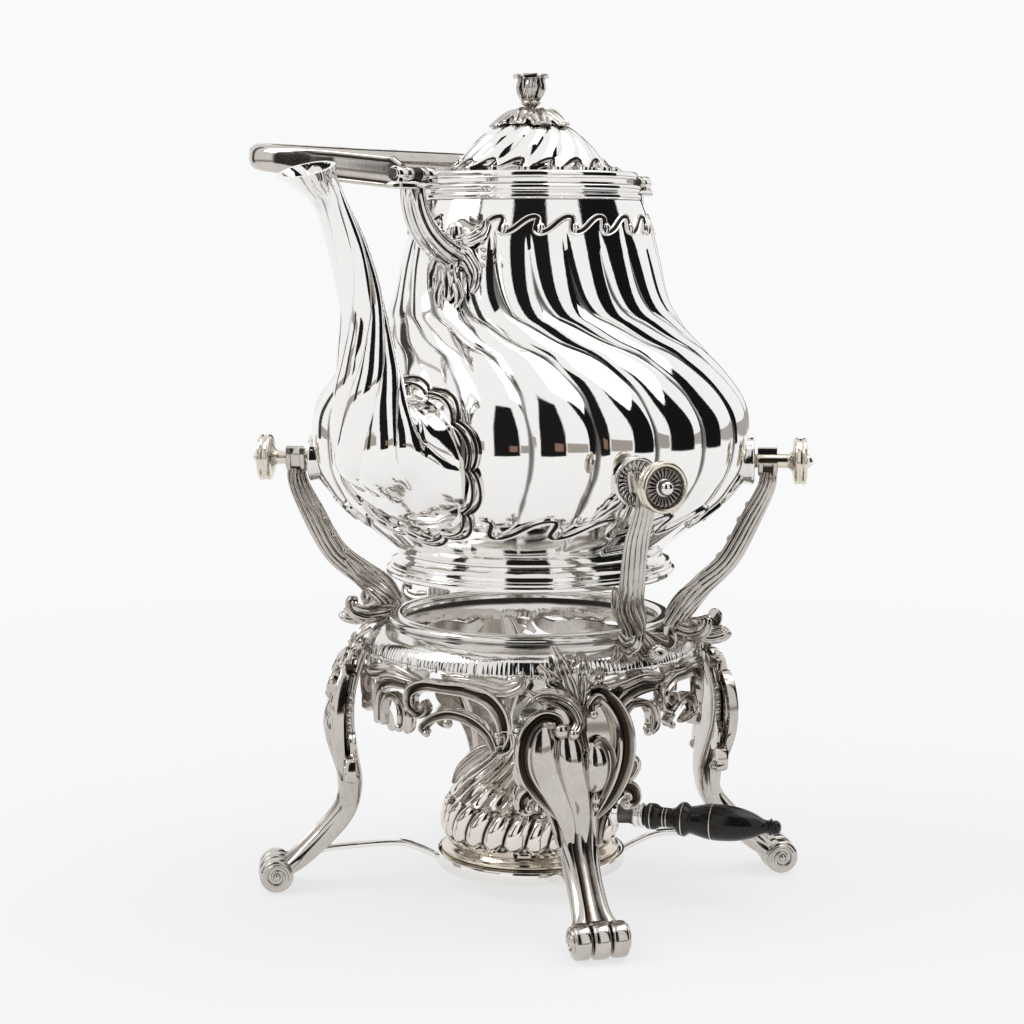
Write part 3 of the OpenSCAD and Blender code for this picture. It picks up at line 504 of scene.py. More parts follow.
class Blank:
    """One piece's mesh while it is shaped, in millimetres."""

    def __init__(self) -> None:
        """Starts empty."""
        self.bm = bmesh.new()

    def loft(self, rings: Sequence[Loop], around: bool = True, loop: bool = False,
             caps: bool = True) -> list[bmesh.types.BMVert]:
        """Lays a grid through rings of equal length.

        Args:
            rings: the rings, each with as many points.
            around: each ring is closed.
            loop: the last ring joins the first.
            caps: the open ends of a closed ring's tube are filled.
        Returns:
            The new vertices.
        """
        n, m = len(rings[0]), len(rings)
        xs, ys = (n if around else n - 1), (m if loop else m - 1)
        made = bmesh.ops.create_grid(self.bm, x_segments=xs, y_segments=ys, size=0.5)["verts"]
        for v in made:
            i, j = round((v.co.x + 0.5) * xs), round((v.co.y + 0.5) * ys)
            v.co = rings[j % m][i % n]
        keep = set(made)
        if around or loop:
            bmesh.ops.remove_doubles(self.bm, verts=made, dist=1e-4)
        verts = [v for v in keep if v.is_valid]
        if around and caps and not loop:
            rims = {e for v in verts for e in v.link_edges if e.is_boundary}
            bmesh.ops.holes_fill(self.bm, edges=list(rims), sides=0)
        return verts

    def sweep(self, path: Sequence[Vector], ups: Sequence[Vector] | Vector,
              sections: Callable[[float], Section] | Section, closed: bool = False,
              caps: bool = True) -> list[bmesh.types.BMVert]:
        """Carries a section along a path.

        Args:
            path: the path's points.
            ups: the direction of the section's second number, one for all or one for each point.
            sections: one section, or a function of the share of the path.
            closed: the path is a ring.
            caps: the ends are filled.
        Returns:
            The new vertices.
        """
        rings, n = [], len(path)
        for i, p in enumerate(path):
            up = ups if isinstance(ups, Vector) else ups[i]
            t = heading(path, i, closed)
            s = t.cross(up).normalized()
            u = s.cross(t)
            shape = sections(i / (n if closed else n - 1)) if callable(sections) else sections
            rings.append([p + a * s + b * u for a, b in shape])
        return self.loft(rings, loop=closed, caps=caps)

    def lathe(self, profile: Sequence[tuple[float, float]], steps: int = 96, place: Matrix = Matrix(),
              ease_by: float = 0.0, closed: bool = True) -> list[bmesh.types.BMVert]:
        """Turns a profile of (radius, height) about an axis.

        Args:
            profile: the outline.
            steps: facets round the axis.
            place: where the axis stands.
            ease_by: how far its sharp corners are rounded.
            closed: the outline returns to its start.
        Returns:
            The new vertices.
        """
        old = set(self.bm.verts)
        verts = [self.bm.verts.new((r, 0, z)) for r, z in profile]
        pairs = list(zip(verts, verts[1:])) + ([(verts[-1], verts[0])] if closed else [])
        edges = [self.bm.edges.new(pair) for pair in pairs]
        bmesh.ops.spin(self.bm, geom=verts + edges, axis=(0, 0, 1), cent=(0, 0, 0), angle=2 * math.pi,
                       steps=steps, use_merge=True, use_normal_flip=False, use_duplicate=False)
        made = [v for v in self.bm.verts if v not in old]
        bmesh.ops.remove_doubles(self.bm, verts=made, dist=1e-4)
        made = [v for v in self.bm.verts if v not in old]
        if ease_by:
            sharp = {e for v in made for e in v.link_edges
                     if len(e.link_faces) == 2 and e.calc_face_angle(0) > math.radians(28)}
            bmesh.ops.bevel(self.bm, geom=list(sharp), offset=ease_by, offset_type="OFFSET", segments=2,
                            profile=0.5, affect="EDGES", clamp_overlap=True, material=-1)
            made = [v for v in self.bm.verts if v not in old]
        bmesh.ops.transform(self.bm, matrix=place, verts=made)
        return made

    def box(self, centre: Vector, size: tuple[float, float, float], ease_by: float, rounds: int) -> None:
        """Adds a block whose edges are rounded in so many steps."""
        verts = bmesh.ops.create_cube(
            self.bm, size=1, matrix=Matrix.Translation(centre) @ Matrix.Diagonal((*size, 1)))["verts"]
        edges = {e for v in verts for e in v.link_edges}
        bmesh.ops.bevel(self.bm, geom=list(edges), offset=ease_by, segments=rounds, profile=0.5,
                        affect="EDGES",
                        material=-1)

    def ball(self, centre: Vector, radius: float, squash: Vector = Vector((1, 1, 1)),
             fine: int = 2) -> list[bmesh.types.BMVert]:
        """Adds a bead, squashed along the axes."""
        place = Matrix.Translation(centre) @ Matrix.Diagonal((*squash, 1))
        return bmesh.ops.create_icosphere(
            self.bm, subdivisions=fine, radius=radius, matrix=place)["verts"]

    def turned(self, degrees: float) -> "Blank":
        """A copy of the whole, turned about the upright axis."""
        twin = Blank()
        twin.bm = self.bm.copy()
        bmesh.ops.rotate(twin.bm, cent=(0, 0, 0), matrix=Matrix.Rotation(math.radians(degrees), 3, "Z"),
                         verts=twin.bm.verts)
        return twin

    def mirrored(self) -> "Blank":
        """A copy of the whole, mirrored left to right."""
        twin = Blank()
        twin.bm = self.bm.copy()
        bmesh.ops.scale(twin.bm, vec=(1, -1, 1), verts=twin.bm.verts)
        return twin

    def piece(self, name: str, finish: Finish, body: Body, nodes: Sequence[str] = (),
              crisp: float = 42, hollow: float = 0.12, reach: int = 8) -> bpy.types.Object:
        """Finishes the mesh as a piece in its place.

        Args:
            name: the piece's name.
            finish: its finish.
            body: the body it rides on.
            nodes: the frame's nodes that it stands for.
            crisp: edges that turn more than this, in degrees, stay crisp.
            hollow: depth in millimetres at which a hollow counts as full.
            reach: how many vertices away a hollow is looked for.
        Returns:
            The object.
        """
        bmesh.ops.recalc_face_normals(self.bm, faces=self.bm.faces)
        for f in self.bm.faces:
            f.smooth = True
        limit = math.radians(crisp)
        for e in self.bm.edges:
            e.smooth = len(e.link_faces) != 2 or e.calc_face_angle(0) < limit
        bmesh.ops.scale(self.bm, vec=(MM, MM, MM), verts=self.bm.verts)
        mesh = bpy.data.meshes.new(name)
        self.bm.to_mesh(mesh)
        self.bm.free()
        mark_hollows(mesh, hollow * MM, reach)
        mesh.materials.append(finish.material())
        obj = bpy.data.objects.new(name, mesh)
        bpy.context.scene.collection.objects.link(obj)
        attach(obj, body.value)
        if nodes:
            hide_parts(*nodes)
        LOG.info("%s: %d faces", name, len(mesh.polygons))
        return obj


def mark_hollows(mesh: bpy.types.Mesh, full: float, reach: int) -> None:
    """Writes how deep each vertex lies below its surroundings to the attribute recess.

    Args:
        mesh: the finished mesh.
        full: the depth in metres that counts as 1.
        reach: rounds of averaging over neighbours.
    """
    n = len(mesh.vertices)
    co, normal = np.empty(n * 3), np.empty(n * 3)
    mesh.vertices.foreach_get("co", co)
    mesh.vertices.foreach_get("normal", normal)
    co, normal = co.reshape(-1, 3), normal.reshape(-1, 3)
    pairs = np.empty(len(mesh.edges) * 2, dtype=np.int64)
    mesh.edges.foreach_get("vertices", pairs)
    a, b = pairs[0::2], pairs[1::2]
    count = np.maximum(np.bincount(a, minlength=n) + np.bincount(b, minlength=n), 1)[:, None]

    def around(value: np.ndarray) -> np.ndarray:
        """Mean of the neighbours' values."""
        total = np.stack([
            np.bincount(a, weights=value[b, k], minlength=n)
            + np.bincount(b, weights=value[a, k], minlength=n)
            for k in range(value.shape[1])], axis=1)
        return total / count

    flat = co.copy()
    for _ in range(reach):
        flat = 0.4 * flat + 0.6 * around(flat)
    depth = ((flat - co) * normal).sum(axis=1, keepdims=True) / full
    depth = 0.5 * depth + 0.5 * around(depth)
    # the depth feeds the hollow mask: oxide and painted shade
    layer = mesh.attributes.new("recess", "FLOAT", "POINT")
    layer.data.foreach_set("value", np.clip(depth[:, 0], 0, 1.5).astype(np.float32))


def dress(node: str, finish: Finish) -> None:
    """Gives a node of the frame its finish."""
    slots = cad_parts[node].material_slots
    if slots:
        for slot in slots:
            slot.material = finish.material()
    else:
        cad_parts[node].data.materials.append(finish.material())


# ---------------------------------------------------------------- shared sizes


@dataclass(frozen=True)
class Plan:
    """Sizes that more than one sub-assembly needs."""

    belly_r: float = 102.4
    neck_r: float = 51.0
    body_h: float = 162.0
    foot_h: float = 11.0
    stand_h: float = 130.0
    foot_gap: float = 19.0
    rim_h: float = 7.0
    mouth_r: float = 46.0
    pin_h: float = 42.0
    pin_r: float = 3.2
    pin_angle: float = 60.0
    hinge_rise: float = 3.2
    hinge_reach: float = 90.0
    lid_r: float = 49.2
    dome_h: float = 23.0
    ring_bore_r: float = 60.0
    burner_r: float = 43.0
    burner_z: float = 11.0
    wall: float = 1.6
    leg_angle: float = 48.0
    foot_reach: float = 121.5
    seat_gap: float = 0.3

    @property
    def base_z(self) -> float:
        """Height of the kettle's foot."""
        return self.stand_h + self.foot_gap

    @property
    def body_z(self) -> float:
        """Height of the body's lower seam."""
        return self.base_z + self.foot_h

    @property
    def mouth_z(self) -> float:
        """Height of the body's upper seam."""
        return self.body_z + self.body_h

    @property
    def rim_z(self) -> float:
        """Height of the mouth's rim."""
        return self.mouth_z + self.rim_h

    @property
    def pin_z(self) -> float:
        """Height of the carrying pins."""
        return self.body_z + self.pin_h

    @property
    def hinge_z(self) -> float:
        """Height of the swing handle's hinges."""
        return self.rim_z + self.hinge_rise

    @property
    def skirt_r(self) -> float:
        """Radius of the stand's skirt at its lower edge."""
        return self.ring_bore_r + 18.5

    @property
    def boss_face(self) -> float:
        """Radius at which the pins leave their bosses."""
        return self.belly_r + 2.2


PLAN = Plan()


@dataclass
class LobedSurface:
    """The kettle body's outer surface, with its spiral lobes."""

    plan: Plan
    lobe_count: int = 22
    crease: float = 2.7
    outline: list[Row] = field(default_factory=lambda: [
        (0, 0.214), (0.052, 0.416), (0.14, 0.739), (0.198, 0.875), (0.257, 0.967), (0.346, 1),
        (0.432, 0.949), (0.531, 0.73), (0.633, 0.428), (0.719, 0.263), (0.833, 0.175), (0.901, 0.117),
        (1, 0)])
    turn_rows: list[Row] = field(default_factory=lambda: [
        (0, 44), (0.15, 47), (0.27, 50), (0.36, 50.5), (0.44, 49), (0.494, 47), (0.549, 42), (0.586, 37),
        (0.617, 28), (0.66, 18), (0.69, 10), (0.747, 4.5), (0.827, 1.4), (0.914, 0)])
    depth_rows: list[Row] = field(default_factory=lambda: [
        (0, 0), (0.06, 0.4), (0.15, 0.8), (0.3, 1), (0.6, 1), (0.75, 0.7), (0.88, 0.4), (0.95, 0)])

    def __post_init__(self) -> None:
        """Works out the fine outline and spiral."""
        p = self.plan
        self.line = [(p.body_z + p.body_h * h, p.neck_r + (p.belly_r - p.neck_r) * s)
                     for h, s in spline(self.outline, 8)]
        self.turns = spline(self.turn_rows, 4)

    def radius(self, z: float) -> float:
        """Radius over the lobes at a height."""
        return lookup(z, self.line)

    def slope(self, z: float) -> float:
        """How fast the radius grows with the height."""
        return (self.radius(z + 0.6) - self.radius(z - 0.6)) / 1.2

    def normal(self, degrees: float, z: float) -> Vector:
        """Outward direction of the unlobed surface."""
        n = polar(1, degrees, 0)
        n.z = -self.slope(z)
        return n.normalized()

    def point(self, degrees: float, z: float, lift: float = 0.0) -> Vector:
        """Point on the unlobed surface, or over it."""
        return polar(self.radius(z), degrees, z) + lift * self.normal(degrees, z)

    def ring(self, z: float, steps: int) -> Loop:
        """One ring of the lobed surface."""
        share = (z - self.plan.body_z) / self.plan.body_h
        turn, deep = lookup(share, self.turns), self.crease * lookup(share, self.depth_rows)
        n = self.lobe_count * steps
        return [polar(self.radius(z) - lobes(k / steps, deep, 0.66), 360 * k / n + turn, z) for k in range(n)]


SURFACE = LobedSurface(PLAN)


# ---------------------------------------------------------------- kettle


@dataclass
class KettleBody:
    """The raised body with its foot, mouth moulding and chased wave borders."""

    plan: Plan
    surface: LobedSurface
    lobe_steps: int = 14
    upper_waves: int = 22
    lower_waves: int = 20
    foot_r: float = 68.0

    def build(self) -> None:
        """Makes every piece of the body."""
        self.shell()
        self.foot()
        self.mouth()
        self.borders()

    def shell(self) -> None:
        """The lobed shell, double walled and open at the mouth."""
        p, blank = self.plan, Blank()
        outer = [self.surface.ring(row[0], self.lobe_steps) for row in self.surface.line]
        n = len(outer[0])

        def inner(row: Row) -> Loop:
            """Plain ring inside the wall."""
            share = (row[0] - p.body_z) / p.body_h
            deep = self.surface.crease * lookup(share, self.surface.depth_rows)
            turn = lookup(share, self.surface.turns)
            r = max(row[1] - p.wall - deep, 1) if row[0] < p.mouth_z - 1 else p.mouth_r
            return [polar(r, 360 * k / n + turn, row[0]) for k in range(n)]

        inside = [inner(row) for row in self.surface.line[6::6]]
        inside.append([polar(p.mouth_r, 360 * k / n, p.mouth_z) for k in range(n)])
        floor = [[polar(r, 360 * k / n + 44, p.body_z + p.wall + 2) for k in range(n)] for r in (60, 30)]
        under = [[polar(r, 360 * k / n + 44, p.body_z) for k in range(n)] for r in (30,)]
        blank.loft(under + outer + inside[::-1] + floor)
        blank.piece("kettle_shell_lobed", RAISED_SILVER, Body.KETTLE, ["kettle_shell"], crisp=38,
                    hollow=0.45, reach=14)

    def foot(self) -> None:
        """The stepped foot moulding."""
        z, r, top = self.plan.base_z, self.foot_r, self.plan.body_z - 0.15
        blank = Blank()
        blank.lathe([
            (r - 9, z), (r - 1, z), (r, z + 1), (r, z + 3), (r - 1.6, z + 3.8), (r - 1.6, z + 4.6),
            (r - 2.4, z + 5), (r - 2.4, z + 6.9), (r - 3.4, z + 7.3), (r - 4.2, z + 7.9), (r - 5.6, z + 9.2),
            (r - 6, top), (r - 10, top), (r - 9, z + 3)], 160, ease_by=0.35)
        blank.piece("foot_moulding", PLAIN_SILVER, Body.KETTLE, ["foot_ring"], hollow=0.2, reach=5)

    def mouth(self) -> None:
        """The banded mouth moulding with the lid hinge's outer knuckles."""
        p, blank = self.plan, Blank()
        r, low, top = p.neck_r, p.mouth_z, p.rim_z
        blank.lathe([
            (p.mouth_r, low + 0.15), (r - 0.6, low + 0.15), (r + 0.2, low + 1), (r + 0.2, low + 2.5),
            (r - 0.9, low + 3), (r - 0.9, low + 4), (r - 0.2, low + 4.6), (r, low + 5.2), (r, top - 0.6),
            (r - 0.6, top), (p.mouth_r, top)], 160, ease_by=0.25)
        for s in (-1, 1):
            middle = Vector((-p.lid_r - 5.5, s * 9.4, top + 2))
            blank.lathe([(1.4, -4), (3, -4), (3, 4), (1.4, 4)], 40,
                        Matrix.Translation(middle) @ Matrix.Rotation(math.pi / 2, 4, "X"), 0.3)
            blank.box(Vector((-p.lid_r - 2.2, s * 9.4, top + 0.3)), (7, 8, 2.6), 0.4, 2)
        blank.piece("mouth_moulding", PLAIN_SILVER, Body.KETTLE, ["mouth_rim"], hollow=0.2, reach=5)
        dress("lid_hinge_pin", PLAIN_SILVER)

    def wave(self, blank: Blank, count: int, z: float, high: float, lean: float, half: float,
             drop: float, gaps: Sequence[tuple[float, float]]) -> None:
        """A running wave round the body, with a drop under each crest.

        Args:
            blank: where it is added.
            count: waves round the body.
            z: middle height.
            high: half height of the waves.
            lean: how far the crests run ahead, as a share of the pitch.
            half: half width of the band.
            drop: length of the drops.
            gaps: middle angle and half angle of the places left out.
        """
        steps, pitch = 26, 360 / count

        def kept(angle: float) -> bool:
            """Whether an angle is outside every gap."""
            return all(abs((angle - mid + 180) % 360 - 180) > wide for mid, wide in gaps)

        run: list[tuple[float, float]] = []
        first = next(k for k in range(count * steps) if not kept(pitch * k / steps))
        for k in range(first, first + count * steps + 1):
            w = 2 * math.pi * k / steps
            swell = lean * math.cos(w) + 0.03 * math.sin(2 * w)
            spot = (pitch * (k / steps + swell), z + high * math.cos(w))
            if kept(spot[0]):
                run.append(spot)
            elif run:
                blank.sweep([self.surface.point(a, h, -0.1) for a, h in run],
                            [self.surface.normal(a, h) for a, h in run], ribbon(half, 1.15))
                run = []
        for k in range(count):
            a = pitch * (k + lean * 0.9)
            if not kept(a + pitch * 0.3):
                continue
            spine = spline([(a + pitch * 0.14, z + high * 0.1), (a + pitch * 0.2, z - high * 0.4),
                            (a + pitch * 0.12, z + high * 0.1 - drop)], 5)
            blank.sweep([self.surface.point(q, h, 0.1) for q, h in spine],
                        [self.surface.normal(q, h) for q, h in spine],
                        lambda t: oval(0.3 + 1.5 * math.sin(math.pi * min(1, 0.12 + t * 0.88)) ** 0.8,
                                       0.2 + 0.9 * math.sin(math.pi * min(1, 0.12 + t * 0.88)), 8))

    def borders(self) -> None:
        """The chased waves at the shoulder and round the underside."""
        p, blank = self.plan, Blank()
        self.wave(blank, self.upper_waves, p.body_z + 151, 3.4, 0.17, 1.6, 5, ((0, 13), (180, 13)))
        self.wave(blank, self.lower_waves, p.body_z + 20.5, 4.2, 0.18, 1.9, 6, ((0, 20),))
        blank.piece("chased_wave_borders", CHASED_SILVER, Body.KETTLE, crisp=60, hollow=0.12, reach=4)


@dataclass
class Spout:
    """The fluted and twisted spout with the cusped moulding round its root."""

    plan: Plan
    surface: LobedSurface
    half_w: float = 32.0
    half_h: float = 30.5
    tube_r: float = 7.0
    flutes: int = 6
    steps: int = 20
    lip: tuple[float, float] = (161.0, 332.5)

    @property
    def root_z(self) -> float:
        """Height of the root's middle."""
        return self.plan.body_z + 48

    def rows(self) -> list[Row]:
        """Rows of x, z, tilt, half depth, half width, flute depth and flute turn."""
        b, z, (x, top), r = self.plan.belly_r, self.root_z, self.lip, self.tube_r
        return [
            (b + 15, z + 12, 30, self.half_h - 10.5, self.half_w - 9.5, 2.2, 24),
            (b + 18.6, z + 19.6, 45, self.half_h - 13, self.half_w - 12.5, 2.3, 44),
            (b + 20, z + 37, 68, 15, 15.5, 2.1, 86), (b + 21.2, z + 51, 75, r + 5, r + 5.4, 1.8, 118),
            (b + 24.4, z + 71.6, 66, r + 2.5, r + 2.9, 1.4, 160),
            (b + 32.2, z + 92, 57, r + 1.1, r + 1.5, 1.15, 198),
            (x - 14.2, top - 12, 55, r - 0.2, r + 0.1, 0.95, 228),
            (x - 6, top - 4.6, 62, r + 1.8, r + 1.8, 0.8, 242),
            (x, top, 72, r + 5.2, r + 5, 0.4, 252)]

    def ring(self, row: Row, inset: float) -> Loop:
        """One ring of the tube."""
        x, z, tilt, deep, wide, cut, turn = row
        n, c, s = self.flutes * self.steps, math.cos(math.radians(tilt)), math.sin(math.radians(tilt))
        out = []
        for k in range(n):
            a = math.radians(360 * k / n + turn)
            back = inset + cut if inset else lobes(k / self.steps, cut, 0.75)
            w, d = (wide - back) * math.cos(a), (deep - back) * math.sin(a)
            out.append(Vector((x - d * s, w, z + d * c)))
        return out

    def laid(self, row: Row) -> Loop:
        """One ring of the root, laid on the belly."""
        rise, inset, gap, cut, turn = row
        z = self.root_z + rise
        loop = self.ring((0, z, 0, self.half_h - inset, self.half_w - inset, cut, turn), 0)
        return [Vector((math.sqrt(max((self.surface.radius(p.z) + gap) ** 2 - p.y ** 2, 0)), p.y, p.z))
                for p in loop]

    def build(self) -> None:
        """Makes the tube and the moulding."""
        roots = [(0, 0, 0.2, 0.4, 0), (1.4, 1.5, 4, 1.2, 2), (4, 4.4, 9, 1.7, 6), (8, 7.6, 13, 2.1, 12)]
        rings = [self.laid(row) for row in roots] + [self.ring(row, 0) for row in self.rows()]
        columns = [spline([ring[k] for ring in rings], 7) for k in range(len(rings[0]))]
        outer = [[Vector(column[j]) for column in columns] for j in range(len(columns[0]))]
        last = spline(self.rows(), 4)
        lip = self.ring(last[-1], 0.8)
        for v, w in zip(lip, self.ring(last[-1], 0)):
            v += (w - v) * 0.4
        inner = [self.ring(row, self.plan.wall) for row in last[:8:-2]]
        blank = Blank()
        blank.loft(outer + [lip] + inner)
        blank.piece("spout_fluted", RAISED_SILVER, Body.KETTLE, ["spout"], crisp=50, hollow=0.4, reach=10)
        self.moulding()

    def moulding(self) -> None:
        """The cusped double band round the root."""
        blank, cusps, steps, z0 = Blank(), 10, 16, self.root_z

        def line(out: float, scallop: float, lift: float) -> tuple[Loop, Loop]:
            """Path and outward directions of one band."""
            path, ups = [], []
            for k in range(cusps * steps):
                a = 2 * math.pi * k / (cusps * steps)
                bump = scallop * math.sin(math.pi * (k % steps) / steps) ** 0.8
                y = (self.half_w + out + bump) * math.cos(a)
                z = z0 + (self.half_h + out + bump) * math.sin(a)
                turn = math.degrees(math.asin(y / self.surface.radius(z)))
                path.append(self.surface.point(turn, z, lift))
                ups.append(self.surface.normal(turn, z))
            return path, ups

        for out, scallop, lift, half in ((0.8, 2.6, 0.9, 1.0), (2.9, 3.4, 0.2, 1.25)):
            path, ups = line(out, scallop, lift)
            blank.sweep(path, ups, ribbon(half, 1.5), closed=True)
        blank.piece("spout_cusped_moulding", CHASED_SILVER, Body.KETTLE, ["spout_border"], crisp=60,
                    hollow=0.12, reach=5)


@dataclass
class CarryingPins:
    """The four pins that hang the kettle, with their rosettes and discs."""

    plan: Plan
    surface: LobedSurface
    boss_r: float = 11.0
    pin_len: float = 18.0
    disc_r: float = 11.0
    disc_t: float = 6.0
    rays: int = 24

    def build(self) -> None:
        """Makes rosette, pin and button at each corner."""
        faces, buttons = Blank(), Blank()
        for side in Side:
            turn = side.turn(self.plan.pin_angle)
            self.rosette(turn).piece(f"rosette_{side.label}", CHASED_SILVER, Body.KETTLE,
                                     [f"boss_{side.label}"], hollow=0.12, reach=5)
            self.pin(turn).piece(f"pin_turned_{side.label}", WORN_GILT, Body.KETTLE,
                                 [f"pin_{side.label}"], hollow=0.3, reach=3)
            self.face(faces, buttons, turn)
        faces.piece("pin_faces_rayed", DARK_RAYS, Body.KETTLE, hollow=0.12, reach=5)
        buttons.piece("pin_buttons_round", CHASED_SILVER, Body.KETTLE, ["pin_buttons"], hollow=0.3, reach=3)

    def axis(self, turn: float, out: float) -> Matrix:
        """Matrix that stands an axis along the radius of a pin."""
        return (Matrix.Rotation(math.radians(turn), 4, "Z")
                @ Matrix.Translation((out, 0, self.plan.pin_z)) @ Matrix.Rotation(math.pi / 2, 4, "Y"))

    def rayed(self, blank: Blank, rows: Sequence[Row], place: Matrix) -> None:
        """Adds a dish with rays, as rows of radius, height and ray depth."""
        n = self.rays * 10
        rings = []
        for r, z, deep in spline(rows, 4):
            rings.append([place @ Vector((r * math.cos(2 * math.pi * k / n),
                                          r * math.sin(2 * math.pi * k / n),
                                          z - lobes(k / 10, deep, 0.7))) for k in range(n)])
        blank.loft(rings)

    def rosette(self, turn: float) -> Blank:
        """Rayed dish on the belly, with a leaf spray under it."""
        blank, r = Blank(), self.boss_r
        self.rayed(blank, [(r - 0.8, -9, 0), (r - 0.3, -2, 0), (r, 0.4, 0), (r - 0.4, 1.3, 0),
                           (r - 1.3, 1.4, 0),
                           (r - 2, 0.6, 0.5), (r - 4, -0.3, 1.1), (5.2, -0.2, 0.9), (4.6, 0.7, 0),
                           (4.4, 1.2, 0), (3.4, 1.2, 0)], self.axis(turn, self.plan.boss_face - 1.6))
        for spread, long, wide in ((-34, 19, 4.0), (0, 24, 4.6), (34, 19, 4.0)):
            spots = []
            for k in range(13):
                t = k / 12
                s = 6 + long * t
                a = math.radians(spread * (1 + 0.25 * t))
                spots.append((turn + math.degrees(s * math.sin(a) / self.surface.radius(self.plan.pin_z)),
                              self.plan.pin_z - s * math.cos(a)))
            blank.sweep([self.surface.point(q, h, -0.2 + 1.2 * (1 - k / 12)) for k,
                         (q, h) in enumerate(spots)],
                        [self.surface.normal(q, h) for q, h in spots],
                        leaf(wide, 2.2, 3, 0.7, least=0.4, start=0.25, span=0.75, fall=1.5, waves=3,
                             notch=0.22))
        return blank

    def pin(self, turn: float) -> Blank:
        """Turned pin with its rimmed disc."""
        p, d, t = self.pin_len, self.disc_r, self.disc_t
        blank = Blank()
        blank.lathe([
            (0, 0), (self.plan.pin_r, 0), (self.plan.pin_r, p * 0.3), (self.plan.pin_r, p * 0.6),
            (self.plan.pin_r, p - 4.4), (self.plan.pin_r, p - 3.4), (self.plan.pin_r, p - 2.6),
            (self.plan.pin_r + 0.8, p - 1.4), (self.plan.pin_r + 2.2, p), (d - 1.4, p), (d - 0.4, p + 0.6),
            (d, p + 1.4), (d - 0.5, p + 2.4),
            (d - 0.5, p + t - 2.2), (d, p + t - 1.4), (d - 0.3, p + t - 0.4), (d - 1, p + t),
            (d - 1.9, p + t - 0.2), (d - 2.4, p + t - 2.2), (0, p + t - 2.2)], 72,
            self.axis(turn, self.plan.boss_face), 0.2, closed=False)
        return blank

    def face(self, faces: Blank, buttons: Blank, turn: float) -> None:
        """Rayed face in the disc with a round button."""
        place = self.axis(turn, self.plan.boss_face + self.pin_len + self.disc_t - 2.2)
        self.rayed(faces, [(8.5, 0.05, 0), (8.3, 0.8, 0.1), (7.4, 1.2, 0.7), (5.8, 1.2, 1.0), (4.4, 0.8, 0.7),
                           (3.4, 0.6, 0)], place)
        buttons.lathe([(0, 0.1), (3.8, 0.1), (4, 0.7), (3.7, 1.3), (3.1, 1.6), (3.2, 2.5), (2.9, 3.6),
                       (2.2, 4.6), (1.2, 5.2), (0, 5.38)], 48, place, closed=False)


